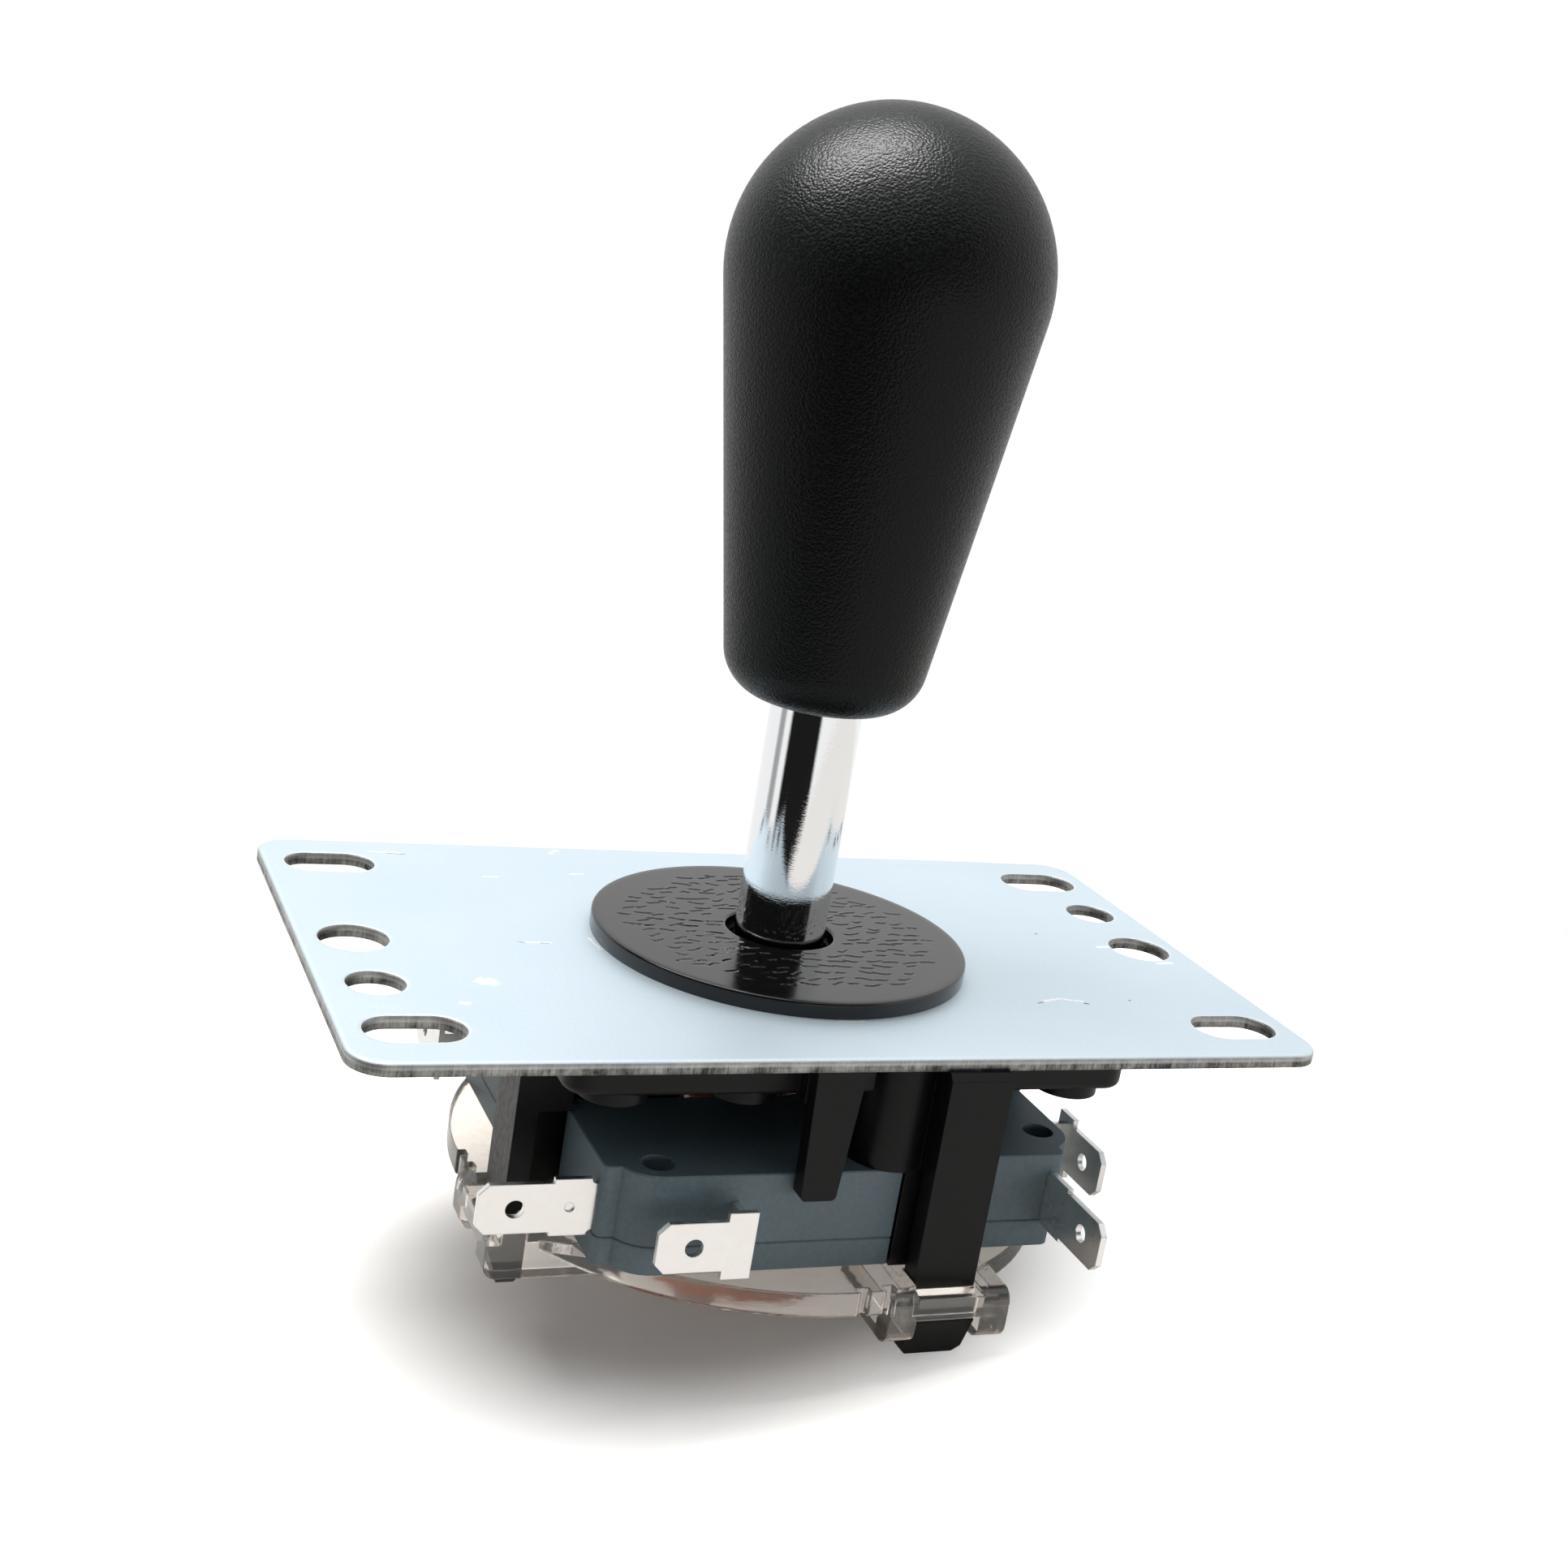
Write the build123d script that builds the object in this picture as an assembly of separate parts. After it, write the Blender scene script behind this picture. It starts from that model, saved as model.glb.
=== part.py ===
from build123d import *
import math
import os

# Arcade joystick lever: a bat-shaped handle on a ball pivot under a steel plate,
# with four switches nested like a pinwheel round the lever and a clear gate below.
# Millimetres. The origin lies on the lever's axis at the plate's top face.
# +Z is up, +X runs along the plate's long side and -Y is the front.
# The four switch stations are modelled once, at the front, and turned about Z.

# Mounting plate
PLATE_LENGTH = 95.0
PLATE_DEPTH = 55.0
PLATE_THICKNESS = 1.2
PLATE_CORNER = 3.5
PLATE_EDGE_ROUND = 0.3
SLOT_LENGTH = 9.0
SLOT_WIDTH = 5.5
SLOT_FROM_END = 6.6
SLOT_FROM_SIDE = 6.85
SIDE_HOLE_DIAMETER = 6.6
SIDE_HOLE_FROM_END = 5.2
SMALL_HOLE_DIAMETER = 5.4
SMALL_HOLE_FROM_END = 5.2
SMALL_HOLE_FROM_SIDE = 16.8

# Plate screws, countersunk and hidden under the washer
SCREW_SPACING = 20.4
SCREW_DIAMETER = 3.0
SCREW_HEAD_DIAMETER = 5.4
SCREW_LENGTH = 7.0
SCREW_BOSS_DIAMETER = 6.4
SCREW_BOSS_FLOOR = 0.8

# Pivot and shaft
PIVOT_DEPTH = 1.0
TILT_LIMIT = 8.5
BALL_RADIUS = 9.0
BALL_HEIGHT_BELOW_CENTRE = 7.0
BALL_TOP_DROP = 0.3
BALL_SHOULDER = 0.8
SHAFT_DIAMETER = 9.0
SHAFT_LOWER_DIAMETER = 6.4
SHAFT_TAIL = 7.2
SHAFT_END_CHAMFER = 0.6
DRIVER_SLOT_WIDTH = 1.2
DRIVER_SLOT_DEPTH = 1.8
STUD_DIAMETER = 6.0
STUD_LENGTH = 18.0

# Handle
HANDLE_BOTTOM = 25.0
HANDLE_TOP = 81.0
HEAD_RADIUS = 15.25
FOOT_RADIUS = 9.2
FOOT_ROUND = 5.0
SHAFT_SOCKET_DEPTH = 3.0
INSERT_DIAMETER = 8.6
INSERT_LENGTH = 20.0

# Dust washer
WASHER_DIAMETER = 37.6
WASHER_THICKNESS = 1.6
WASHER_RIM_ROUND = 0.6
WASHER_HOLE_CHAMFER = 0.3

# Housing
DECK_LENGTH = 55.8
DECK_DEPTH = 48.0
DECK_THICKNESS = 3.85
DECK_CORNER = 2.5
DECK_EDGE_ROUND = 0.7
FOOT_PAD_DIAMETER = 6.4
FOOT_PAD_HEIGHT = 0.95
FOOT_PAD_FROM_SIDE = 3.4
FOOT_PAD_FROM_END = 5.1
FOOT_PAD_PITCH = 12.2
HUB_RADIUS = 11.2
HUB_DEPTH = 7.0
CUP_MOUTH_RADIUS = 6.6
POST_RADIUS = 4.1
POST_X = 4.4
POST_INSET = 3.5
DIVIDER_THICKNESS = 2.7
DIVIDER_INNER_END = 11.0
ROOT_OVERLAP = 0.7
FINGER_LEFT = -6.5
FINGER_WIDTH = 4.8
FINGER_TIP_TAPER_LEFT = 0.4
FINGER_TIP_TAPER_RIGHT = 1.0
FINGER_TIP_ROUND = 0.5
FINGER_THICKNESS = 1.8
FINGER_OVERLAP = 1.8
LEG_LEFT = 6.2
LEG_WIDTH = 6.3
LEG_THICKNESS = 2.2
LEG_STAND_OFF = 0.8
LEG_TIP_BELOW_GATE = 5.3
LEG_TOP_CHAMFER = 0.6
LEG_BARB = 1.2
LEG_BARB_RISE = 0.6
LEG_TIP_SETBACK = 0.5
LEG_TIP_CHAMFER = 0.7

# Switches
SWITCH_DROP = 10.8
SWITCH_THICKNESS = 9.7
SWITCH_LENGTH = 28.0
SWITCH_RIGHT = 4.7
SWITCH_OUTER = 25.4
SWITCH_DEPTH = 15.9
CASE_WALL = 1.3
CASE_CORNER = 4.0
END_BLOCK_LENGTH = 1.2
END_BLOCK_SET_IN = 2.2
END_BLOCK_INNER_STEP = 1.1
END_BLOCK_ROUND = 0.9
END_WALL = 2.0
COVER_HEIGHT = 2.8
SWITCH_EDGE_CHAMFER = 0.12
SWITCH_HOLE_DIAMETER = 3.1
SWITCH_HOLE_INSET = 2.8
SWITCH_HOLE_FROM_END = 5.1
SWITCH_HOLE_SPACING = 20.1
SWITCH_TUBE_WALL = 0.8
PIN_LENGTH = 8.5

# Plungers and contact blades
PLUNGER_DIAMETER = 3.0
PLUNGER_TRAVEL = 1.2
PLUNGER_PRESSED_PROUD = 0.3
PLUNGER_TIP_ROUND = 0.7
PLUNGER_FLANGE_DIAMETER = 4.6
PLUNGER_FLANGE_THICKNESS = 1.0
BLADE_THICKNESS = 0.3
BLADE_WIDTH = 3.0
BLADE_OVERHANG = 1.6

# Terminals
TERMINAL_THICKNESS = 0.6
TERMINAL_WIDTH = 4.75
TERMINAL_RISE = 0.45
TERMINAL_TIP_CHAMFER = 0.9
TERMINAL_HOLE_DIAMETER = 1.7
TERMINAL_HOLE_FROM_TIP = 3.4
TERMINAL_NECK_WIDTH = 3.6
OPEN_REACH = 10.7
OPEN_INSET = 3.6
OPEN_BASE_LENGTH = 3.9
OPEN_BASE_WIDTH = 5.5
OPEN_ROOT_NOTCH = 1.0
OPEN_DIMPLE_DIAMETER = 0.9
OPEN_DIMPLE_DEPTH = 0.2
OPEN_DIMPLE_FROM_ROOT = 2.3
CONTACT_PAD_LENGTH = 2.4
COMMON_STAND_OUT = 4.4
COMMON_BEND_X = -11.1
COMMON_BLADE_LENGTH = 9.0
COMMON_BASE_LENGTH = 2.7
COMMON_BASE_WIDTH = 6.4
CONTACT_GAP = 0.5

# Spring, actuator and retaining ring
SPRING_WASHER_THICKNESS = 0.7
SPRING_WASHER_OUTER = 8.6
SPRING_WASHER_INNER = 5.9
SPRING_RADIUS = 6.6
SPRING_WIRE = 1.0
SPRING_TURNS = 3.0
SPRING_HEIGHT = 5.7
ACTUATOR_COLLAR_HEIGHT = 1.2
ACTUATOR_CONE_BELOW = 3.6
ACTUATOR_NECK_RADIUS = 5.0
FLANGE_RADIUS = 8.8
FLANGE_THICKNESS = 1.8
FLANGE_EDGE_ROUND = 0.4
RING_THICKNESS = 0.8
RING_RADIUS = 5.0
RING_GAP = 4.0
GROOVE_DEPTH = 0.6

# Restrictor gate
GATE_RADIUS = 30.0
GATE_THICKNESS = 2.6
GATE_EDGE_ROUND = 0.4
GATE_CORNER = 7.5
GATE_FRAME_WALL = 2.0
GATE_FRAME_DEPTH = 2.7
EAR_THICKNESS = 2.8
EAR_DEPTH = 5.4
EAR_ROUND = 1.4
EAR_RUN = 11.0
LOOP_BAR_THICKNESS = 1.9
LOOP_BAR_HEIGHT = 2.2
LOOP_BAR_DROP = 0.7
RIM_NOTCH_WIDTH = 1.1
RIM_NOTCH_DEPTH = 0.8
RIM_NOTCH_ANGLES = (1.5, 6.5)

# Clearances
BALL_CLEARANCE = 0.08
PLUNGER_CLEARANCE = 0.08
FIT_CLEARANCE = 0.02
SEAT_CLEARANCE = 0.2
WASHER_CLEARANCE = 0.25
BALL_TOP_CLEARANCE = 0.15
PLATE_HOLE_CLEARANCE = 0.7
CONTACT_CLEARANCE = 0.06
FLANGE_CLEARANCE = 0.5
GATE_CLEARANCE = 0.2
SNAP_CLEARANCE = 0.15
CUT_MARGIN = 1.0

# Angles: one tilt, and both tilts together into a corner of the gate
TILT = math.radians(TILT_LIMIT)
CORNER_TILT = math.acos(math.cos(TILT) ** 2)

# Heights, from the plate down
DECK_TOP = -PLATE_THICKNESS
DECK_BOTTOM = DECK_TOP - DECK_THICKNESS
PIVOT_Z = -PIVOT_DEPTH
HUB_BOTTOM = DECK_TOP - HUB_DEPTH
SPRING_TOP = HUB_BOTTOM - SPRING_WASHER_THICKNESS
ACTUATOR_TOP = SPRING_TOP - SPRING_HEIGHT
SWITCH_TOP = DECK_TOP - SWITCH_DROP
SWITCH_BOTTOM = SWITCH_TOP - SWITCH_THICKNESS
PARTING_Z = SWITCH_BOTTOM + COVER_HEIGHT
PLUNGER_Z = (SWITCH_TOP + SWITCH_BOTTOM) / 2
TERMINAL_Z = PLUNGER_Z + TERMINAL_RISE
GATE_BOTTOM = SWITCH_BOTTOM - GATE_THICKNESS
EAR_BOTTOM = SWITCH_BOTTOM - EAR_DEPTH
LOOP_BAR_TOP = SWITCH_BOTTOM - LOOP_BAR_DROP
LOOP_BAR_BOTTOM = LOOP_BAR_TOP - LOOP_BAR_HEIGHT
LEG_TIP = GATE_BOTTOM - LEG_TIP_BELOW_GATE
BALL_TOP = PIVOT_Z - BALL_TOP_DROP
BALL_FOOT = PIVOT_Z - BALL_HEIGHT_BELOW_CENTRE
SOCKET_TOP = HANDLE_BOTTOM + SHAFT_SOCKET_DEPTH
HEAD_CENTRE = HANDLE_TOP - HEAD_RADIUS

# Places of the plate's slots and holes, in from its edges
SLOT_X = PLATE_LENGTH / 2 - SLOT_FROM_END
SLOT_Y = PLATE_DEPTH / 2 - SLOT_FROM_SIDE
SIDE_HOLE_X = PLATE_LENGTH / 2 - SIDE_HOLE_FROM_END
SMALL_HOLE_X = PLATE_LENGTH / 2 - SMALL_HOLE_FROM_END
SMALL_HOLE_Y = PLATE_DEPTH / 2 - SMALL_HOLE_FROM_SIDE

# Radii and distances from the lever's axis
SHAFT_RADIUS = SHAFT_DIAMETER / 2
SHAFT_LOWER_RADIUS = SHAFT_LOWER_DIAMETER / 2
BORE_RADIUS = SHAFT_LOWER_RADIUS + FIT_CLEARANCE
STUD_RADIUS = STUD_DIAMETER / 2
WASHER_REACH = (WASHER_THICKNESS + PIVOT_DEPTH) * math.tan(CORNER_TILT)
WASHER_HOLE_RADIUS = SHAFT_RADIUS / math.cos(CORNER_TILT) + WASHER_REACH + WASHER_CLEARANCE
PLATE_HOLE_RADIUS = BALL_RADIUS + PLATE_HOLE_CLEARANCE
SWITCH_LEFT = SWITCH_RIGHT - SWITCH_LENGTH
CASE_LEFT = SWITCH_LEFT + END_BLOCK_LENGTH
SWITCH_INNER = SWITCH_OUTER - SWITCH_DEPTH
PRESSED_TIP = SWITCH_INNER - PLUNGER_PRESSED_PROUD
REST_TIP = PRESSED_TIP - PLUNGER_TRAVEL
FLANGE_FRONT = SWITCH_INNER + CASE_WALL + PLUNGER_TRAVEL + SEAT_CLEARANCE
FLANGE_BACK = FLANGE_FRONT + PLUNGER_FLANGE_THICKNESS
BLADE_FRONT = FLANGE_BACK + FIT_CLEARANCE
BLADE_BACK = BLADE_FRONT + BLADE_THICKNESS
HOLE_ROW_Y = -(SWITCH_OUTER - SWITCH_HOLE_INSET)
HOLE_LEFT_X = SWITCH_LEFT + SWITCH_HOLE_FROM_END
HOLE_RIGHT_X = HOLE_LEFT_X + SWITCH_HOLE_SPACING
HOLE_RADIUS = SWITCH_HOLE_DIAMETER / 2
OPEN_Y = -(SWITCH_OUTER - OPEN_INSET)
COMMON_Y = -(SWITCH_OUTER + COMMON_STAND_OUT)
FINGER_INNER = SWITCH_OUTER + SEAT_CLEARANCE
DIVIDER_OUTER = SWITCH_OUTER + SEAT_CLEARANCE
LEG_INNER = DIVIDER_OUTER + LEG_STAND_OFF
LEG_OUTER = LEG_INNER + LEG_THICKNESS
LEG_RIGHT = LEG_LEFT + LEG_WIDTH
LOOP_INNER = LEG_OUTER + SNAP_CLEARANCE
LOOP_OUTER = LOOP_INNER + LOOP_BAR_THICKNESS

# Actuator: its cone lies flush on a pressed plunger at full tilt
CONTACT_DROP = PIVOT_Z - PLUNGER_Z
CONTACT_REACH = PRESSED_TIP - CONTACT_CLEARANCE
ACTUATOR_RADIUS = (CONTACT_REACH - CONTACT_DROP * math.sin(TILT)) / math.cos(TILT)
FLANGE_RISE = FLANGE_RADIUS * math.sin(CORNER_TILT) + FLANGE_CLEARANCE
FLANGE_TOP = PIVOT_Z - (PIVOT_Z - SWITCH_BOTTOM + FLANGE_RISE) / math.cos(CORNER_TILT)
FLANGE_BOTTOM = FLANGE_TOP - FLANGE_THICKNESS
FLANGE_SWING = FLANGE_RADIUS * math.cos(TILT) + (PIVOT_Z - FLANGE_BOTTOM) * math.sin(TILT)
GATE_HALF = FLANGE_SWING + GATE_CLEARANCE
RING_BOTTOM = FLANGE_BOTTOM - RING_THICKNESS
SHAFT_BOTTOM = FLANGE_BOTTOM - SHAFT_TAIL

STATIONS = ("front", "right", "back", "left")
OUTPUT = "parts"


def block(x_range, y_range, z_range):
    """A box between three pairs of limits."""
    ranges = (x_range, y_range, z_range)
    sizes = [high - low for low, high in ranges]
    centre = [(high + low) / 2 for low, high in ranges]
    return Pos(*centre) * Box(*sizes)


def rod(radius, low, high, x=0.0, y=0.0):
    """An upright round bar between two heights."""
    return Pos(x, y, (low + high) / 2) * Cylinder(radius, high - low)


def cross_rod(radius, near, far, x, z):
    """A round bar that runs out to the front, between two distances from the axis."""
    return Pos(x, -(near + far) / 2, z) * Rot(90, 0, 0) * Cylinder(radius, far - near)


def turned(*points):
    """A solid turned about the lever's axis from (radius, height) points."""
    return revolve(Plane.XZ * make_face(Polyline(*points, close=True)), Axis.Z)


def slab(outline, low, high):
    """A flat outline raised between two heights."""
    return extrude(Pos(0, 0, low) * outline, high - low)


def area(x_range, y_range):
    """A flat rectangle between two pairs of limits."""
    centre = [(high + low) / 2 for low, high in (x_range, y_range)]
    return Pos(*centre) * Rectangle(x_range[1] - x_range[0], y_range[1] - y_range[0])


def quarter_turns(part):
    """The four copies of a front feature round the lever's axis."""
    return [Rot(0, 0, 90 * turn) * part for turn in range(4)]


def half_turns(part):
    """A feature and its copy half a turn round the lever's axis."""
    return [part, Rot(0, 0, 180) * part]


def on_ball(angle):
    """The (radius, height) of a point on the ball, at an angle below its centre."""
    return (BALL_RADIUS * math.cos(angle), PIVOT_Z - BALL_RADIUS * math.sin(angle))


def cone_radius(z):
    """The actuator cone's radius at a height, narrowing downwards by the tilt."""
    return ACTUATOR_RADIUS + (z - PLUNGER_Z) * math.tan(TILT)


def bat_handle():
    lift = HEAD_CENTRE - HANDLE_BOTTOM
    taper = math.asin(HEAD_RADIUS / math.hypot(FOOT_RADIUS, lift)) - math.atan2(FOOT_RADIUS, lift)
    touch = (HEAD_RADIUS * math.cos(taper), HEAD_CENTRE - HEAD_RADIUS * math.sin(taper))
    half_way = (math.pi / 2 - taper) / 2
    middle = (HEAD_RADIUS * math.cos(half_way), HEAD_CENTRE + HEAD_RADIUS * math.sin(half_way))
    crown = (0, HANDLE_TOP)
    profile = Polyline(crown, (0, HANDLE_BOTTOM), (FOOT_RADIUS, HANDLE_BOTTOM), touch)
    profile += ThreePointArc(touch, middle, crown)
    handle = revolve(Plane.XZ * make_face(profile), Axis.Z)
    foot_edge = handle.edges().filter_by(GeomType.CIRCLE).sort_by(Axis.Z)[0]
    handle = fillet(foot_edge, FOOT_ROUND)
    handle -= rod(SHAFT_RADIUS + FIT_CLEARANCE, HANDLE_BOTTOM, SOCKET_TOP)
    handle -= rod(INSERT_DIAMETER / 2, SOCKET_TOP, SOCKET_TOP + INSERT_LENGTH)
    return handle


def handle_insert():
    sleeve = rod(INSERT_DIAMETER / 2, SOCKET_TOP, SOCKET_TOP + INSERT_LENGTH)
    sleeve -= rod(STUD_RADIUS + FIT_CLEARANCE, SOCKET_TOP, SOCKET_TOP + STUD_LENGTH + CUT_MARGIN)
    return sleeve


def lever_shaft():
    chamfer_size = SHAFT_END_CHAMFER
    groove = SHAFT_LOWER_RADIUS - GROOVE_DEPTH
    stud_top = SOCKET_TOP + STUD_LENGTH
    shaft = turned(
        (0, SHAFT_BOTTOM),
        (SHAFT_LOWER_RADIUS - chamfer_size, SHAFT_BOTTOM),
        (SHAFT_LOWER_RADIUS, SHAFT_BOTTOM + chamfer_size),
        (SHAFT_LOWER_RADIUS, RING_BOTTOM),
        (groove, RING_BOTTOM),
        (groove, FLANGE_BOTTOM),
        (SHAFT_LOWER_RADIUS, FLANGE_BOTTOM),
        (SHAFT_LOWER_RADIUS, BALL_TOP),
        (SHAFT_RADIUS, BALL_TOP),
        (SHAFT_RADIUS, SOCKET_TOP),
        (STUD_RADIUS, SOCKET_TOP),
        (STUD_RADIUS, stud_top - chamfer_size),
        (STUD_RADIUS - chamfer_size, stud_top),
        (0, stud_top),
    )
    half_slot = DRIVER_SLOT_WIDTH / 2
    slot_top = SHAFT_BOTTOM + DRIVER_SLOT_DEPTH
    shaft -= block((-half_slot, half_slot), (-SHAFT_DIAMETER, SHAFT_DIAMETER), (SHAFT_BOTTOM, slot_top))
    return shaft


def dust_washer():
    washer = rod(WASHER_DIAMETER / 2, 0, WASHER_THICKNESS)
    rim = washer.edges().filter_by(GeomType.CIRCLE).sort_by(Axis.Z)[-1]
    washer = fillet(rim, WASHER_RIM_ROUND)
    washer -= rod(WASHER_HOLE_RADIUS, 0, WASHER_THICKNESS)
    mouth = washer.edges().filter_by(GeomType.CIRCLE).group_by(Axis.Z)[-1].sort_by(SortBy.RADIUS)[0]
    return chamfer(mouth, WASHER_HOLE_CHAMFER)


def screw_places():
    """The four screw axes under the washer."""
    half = SCREW_SPACING / 2
    return [(x, y) for x in (-half, half) for y in (-half, half)]


def screw_shape(x, y, clearance):
    """A countersunk screw, its head flush with the plate's top, grown by a clearance."""
    shank = SCREW_DIAMETER / 2 + clearance
    head = SCREW_HEAD_DIAMETER / 2 + clearance
    point = DECK_TOP - SCREW_LENGTH
    shape = turned((0, point), (shank, point), (shank, DECK_TOP), (head, 0), (0, 0))
    return Pos(x, y, 0) * shape


def mounting_plate():
    plate = slab(RectangleRounded(PLATE_LENGTH, PLATE_DEPTH, PLATE_CORNER), DECK_TOP, 0)
    plate = fillet(plate.faces().sort_by(Axis.Z)[-1].edges(), PLATE_EDGE_ROUND)
    plate -= rod(PLATE_HOLE_RADIUS, DECK_TOP, 0)
    slot = slab(SlotOverall(SLOT_LENGTH, SLOT_WIDTH), DECK_TOP, 0)
    for x in (-SLOT_X, SLOT_X):
        for y in (-SLOT_Y, SLOT_Y):
            plate -= Pos(x, y, 0) * slot
    side = rod(SIDE_HOLE_DIAMETER / 2, DECK_TOP, 0, SIDE_HOLE_X, 0)
    small = rod(SMALL_HOLE_DIAMETER / 2, DECK_TOP, 0, SMALL_HOLE_X, SMALL_HOLE_Y)
    for hole in half_turns(side) + half_turns(small):
        plate -= hole
    for x, y in screw_places():
        plate -= screw_shape(x, y, FIT_CLEARANCE)
    return plate


def plate_screws():
    return Compound(children=[screw_shape(x, y, 0) for x, y in screw_places()])


def pivot_ball():
    rim_angle = CORNER_TILT - math.asin((PIVOT_DEPTH - BALL_TOP_CLEARANCE) / BALL_RADIUS)
    foot_angle = math.asin(BALL_HEIGHT_BELOW_CENTRE / BALL_RADIUS)
    rim = on_ball(rim_angle)
    foot = on_ball(foot_angle)
    shoulder = (SHAFT_RADIUS + BALL_SHOULDER, BALL_TOP)
    profile = Polyline(rim, shoulder, (BORE_RADIUS, BALL_TOP), (BORE_RADIUS, BALL_FOOT), foot)
    profile += ThreePointArc(foot, on_ball((rim_angle + foot_angle) / 2), rim)
    return revolve(Plane.XZ * make_face(profile), Axis.Z)


def housing_deck():
    deck = slab(RectangleRounded(DECK_LENGTH, DECK_DEPTH, DECK_CORNER), DECK_BOTTOM, DECK_TOP)
    lower = deck.faces().sort_by(Axis.Z)[0]
    deck = fillet(lower.edges(), DECK_EDGE_ROUND)
    pad_y = -DECK_DEPTH / 2 + FOOT_PAD_FROM_SIDE
    corner_x = DECK_LENGTH / 2 - FOOT_PAD_FROM_END
    for x in (-corner_x, -corner_x + FOOT_PAD_PITCH, corner_x):
        pad = rod(FOOT_PAD_DIAMETER / 2, DECK_BOTTOM - FOOT_PAD_HEIGHT, DECK_TOP, x, pad_y)
        for copy in half_turns(pad):
            deck += copy
    return deck


def root_run(reach):
    """The Y limits of a root that ties a hanging feature at some reach into the deck's edge."""
    return (-reach, -min(reach, DECK_DEPTH / 2) + ROOT_OVERLAP)


def snap_leg():
    """A sprung leg with an outward barb that catches under a loop of the gate."""
    barb_z = LOOP_BAR_BOTTOM - SNAP_CLEARANCE
    outline = Polyline(
        (-LEG_INNER, DECK_TOP),
        (-LEG_OUTER + LEG_TOP_CHAMFER, DECK_TOP),
        (-LEG_OUTER, DECK_TOP - LEG_TOP_CHAMFER),
        (-LEG_OUTER, barb_z),
        (-LEG_OUTER - LEG_BARB, barb_z - LEG_BARB_RISE),
        (-LEG_OUTER + LEG_TIP_SETBACK, LEG_TIP),
        (-LEG_INNER, LEG_TIP),
        close=True,
    )
    leg = extrude(Plane.YZ.offset(LEG_LEFT) * make_face(outline), LEG_WIDTH)
    tip_edges = leg.edges().filter_by(Axis.Y).group_by(Axis.Z)[0]
    return chamfer(tip_edges, LEG_TIP_CHAMFER)


def finger():
    """A tapered finger that hangs in front of a switch and keeps it from sliding out."""
    tip = SWITCH_TOP - FINGER_OVERLAP
    right = FINGER_LEFT + FINGER_WIDTH
    outline = Polyline(
        (FINGER_LEFT, DECK_TOP),
        (right, DECK_TOP),
        (right - FINGER_TIP_TAPER_RIGHT, tip),
        (FINGER_LEFT + FINGER_TIP_TAPER_LEFT, tip),
        close=True,
    )
    blade = extrude(Plane.XZ.offset(FINGER_INNER) * make_face(outline), FINGER_THICKNESS)
    tip_edges = blade.edges().filter_by(Axis.Y).group_by(Axis.Z)[0]
    blade = fillet(tip_edges, FINGER_TIP_ROUND)
    root = block((FINGER_LEFT, right), root_run(FINGER_INNER), (DECK_BOTTOM, DECK_TOP))
    return blade + root


def station_mouldings():
    """What the housing carries at one switch: leg, finger, hold-down post, pin and divider."""
    arm_z = (SWITCH_TOP + SEAT_CLEARANCE, DECK_TOP)
    arm = block((LEG_LEFT, LEG_RIGHT), root_run(LEG_INNER), arm_z)
    post_y = -(SWITCH_OUTER - POST_INSET)
    post = rod(POST_RADIUS, SWITCH_TOP, DECK_TOP, POST_X, post_y)
    pin_radius = HOLE_RADIUS - PLUNGER_CLEARANCE
    pin = rod(pin_radius, SWITCH_TOP - PIN_LENGTH, DECK_BOTTOM, HOLE_RIGHT_X, HOLE_ROW_Y)
    divider_x = SWITCH_RIGHT + SEAT_CLEARANCE
    divider = block(
        (divider_x, divider_x + DIVIDER_THICKNESS),
        (-DIVIDER_OUTER, -DIVIDER_INNER_END),
        (SWITCH_BOTTOM, DECK_TOP),
    )
    return snap_leg() + arm + finger() + post + pin + divider


def base_housing():
    housing = housing_deck()
    housing += rod(HUB_RADIUS, HUB_BOTTOM, DECK_TOP)
    boss_bottom = DECK_TOP - SCREW_LENGTH - SCREW_BOSS_FLOOR
    for x, y in screw_places():
        housing += rod(SCREW_BOSS_DIAMETER / 2, boss_bottom, DECK_TOP, x, y)
    for station in quarter_turns(station_mouldings()):
        housing += station
    housing -= Pos(0, 0, PIVOT_Z) * Sphere(BALL_RADIUS + BALL_CLEARANCE)
    housing -= rod(CUP_MOUTH_RADIUS, HUB_BOTTOM, PIVOT_Z)
    for x, y in screw_places():
        housing -= screw_shape(x, y, FIT_CLEARANCE)
    return housing


def spring_washer():
    ring = rod(SPRING_WASHER_OUTER, SPRING_TOP, HUB_BOTTOM)
    return ring - rod(SPRING_WASHER_INNER, SPRING_TOP, HUB_BOTTOM)


def centring_spring():
    rise = SPRING_HEIGHT - SPRING_WIRE
    start = ACTUATOR_TOP + SPRING_WIRE / 2
    path = Pos(0, 0, start) * Helix(rise / SPRING_TURNS, rise, SPRING_RADIUS)
    section = Plane(origin=path @ 0, z_dir=path % 0) * Circle(SPRING_WIRE / 2)
    return sweep(section, path=path, is_frenet=True)


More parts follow.
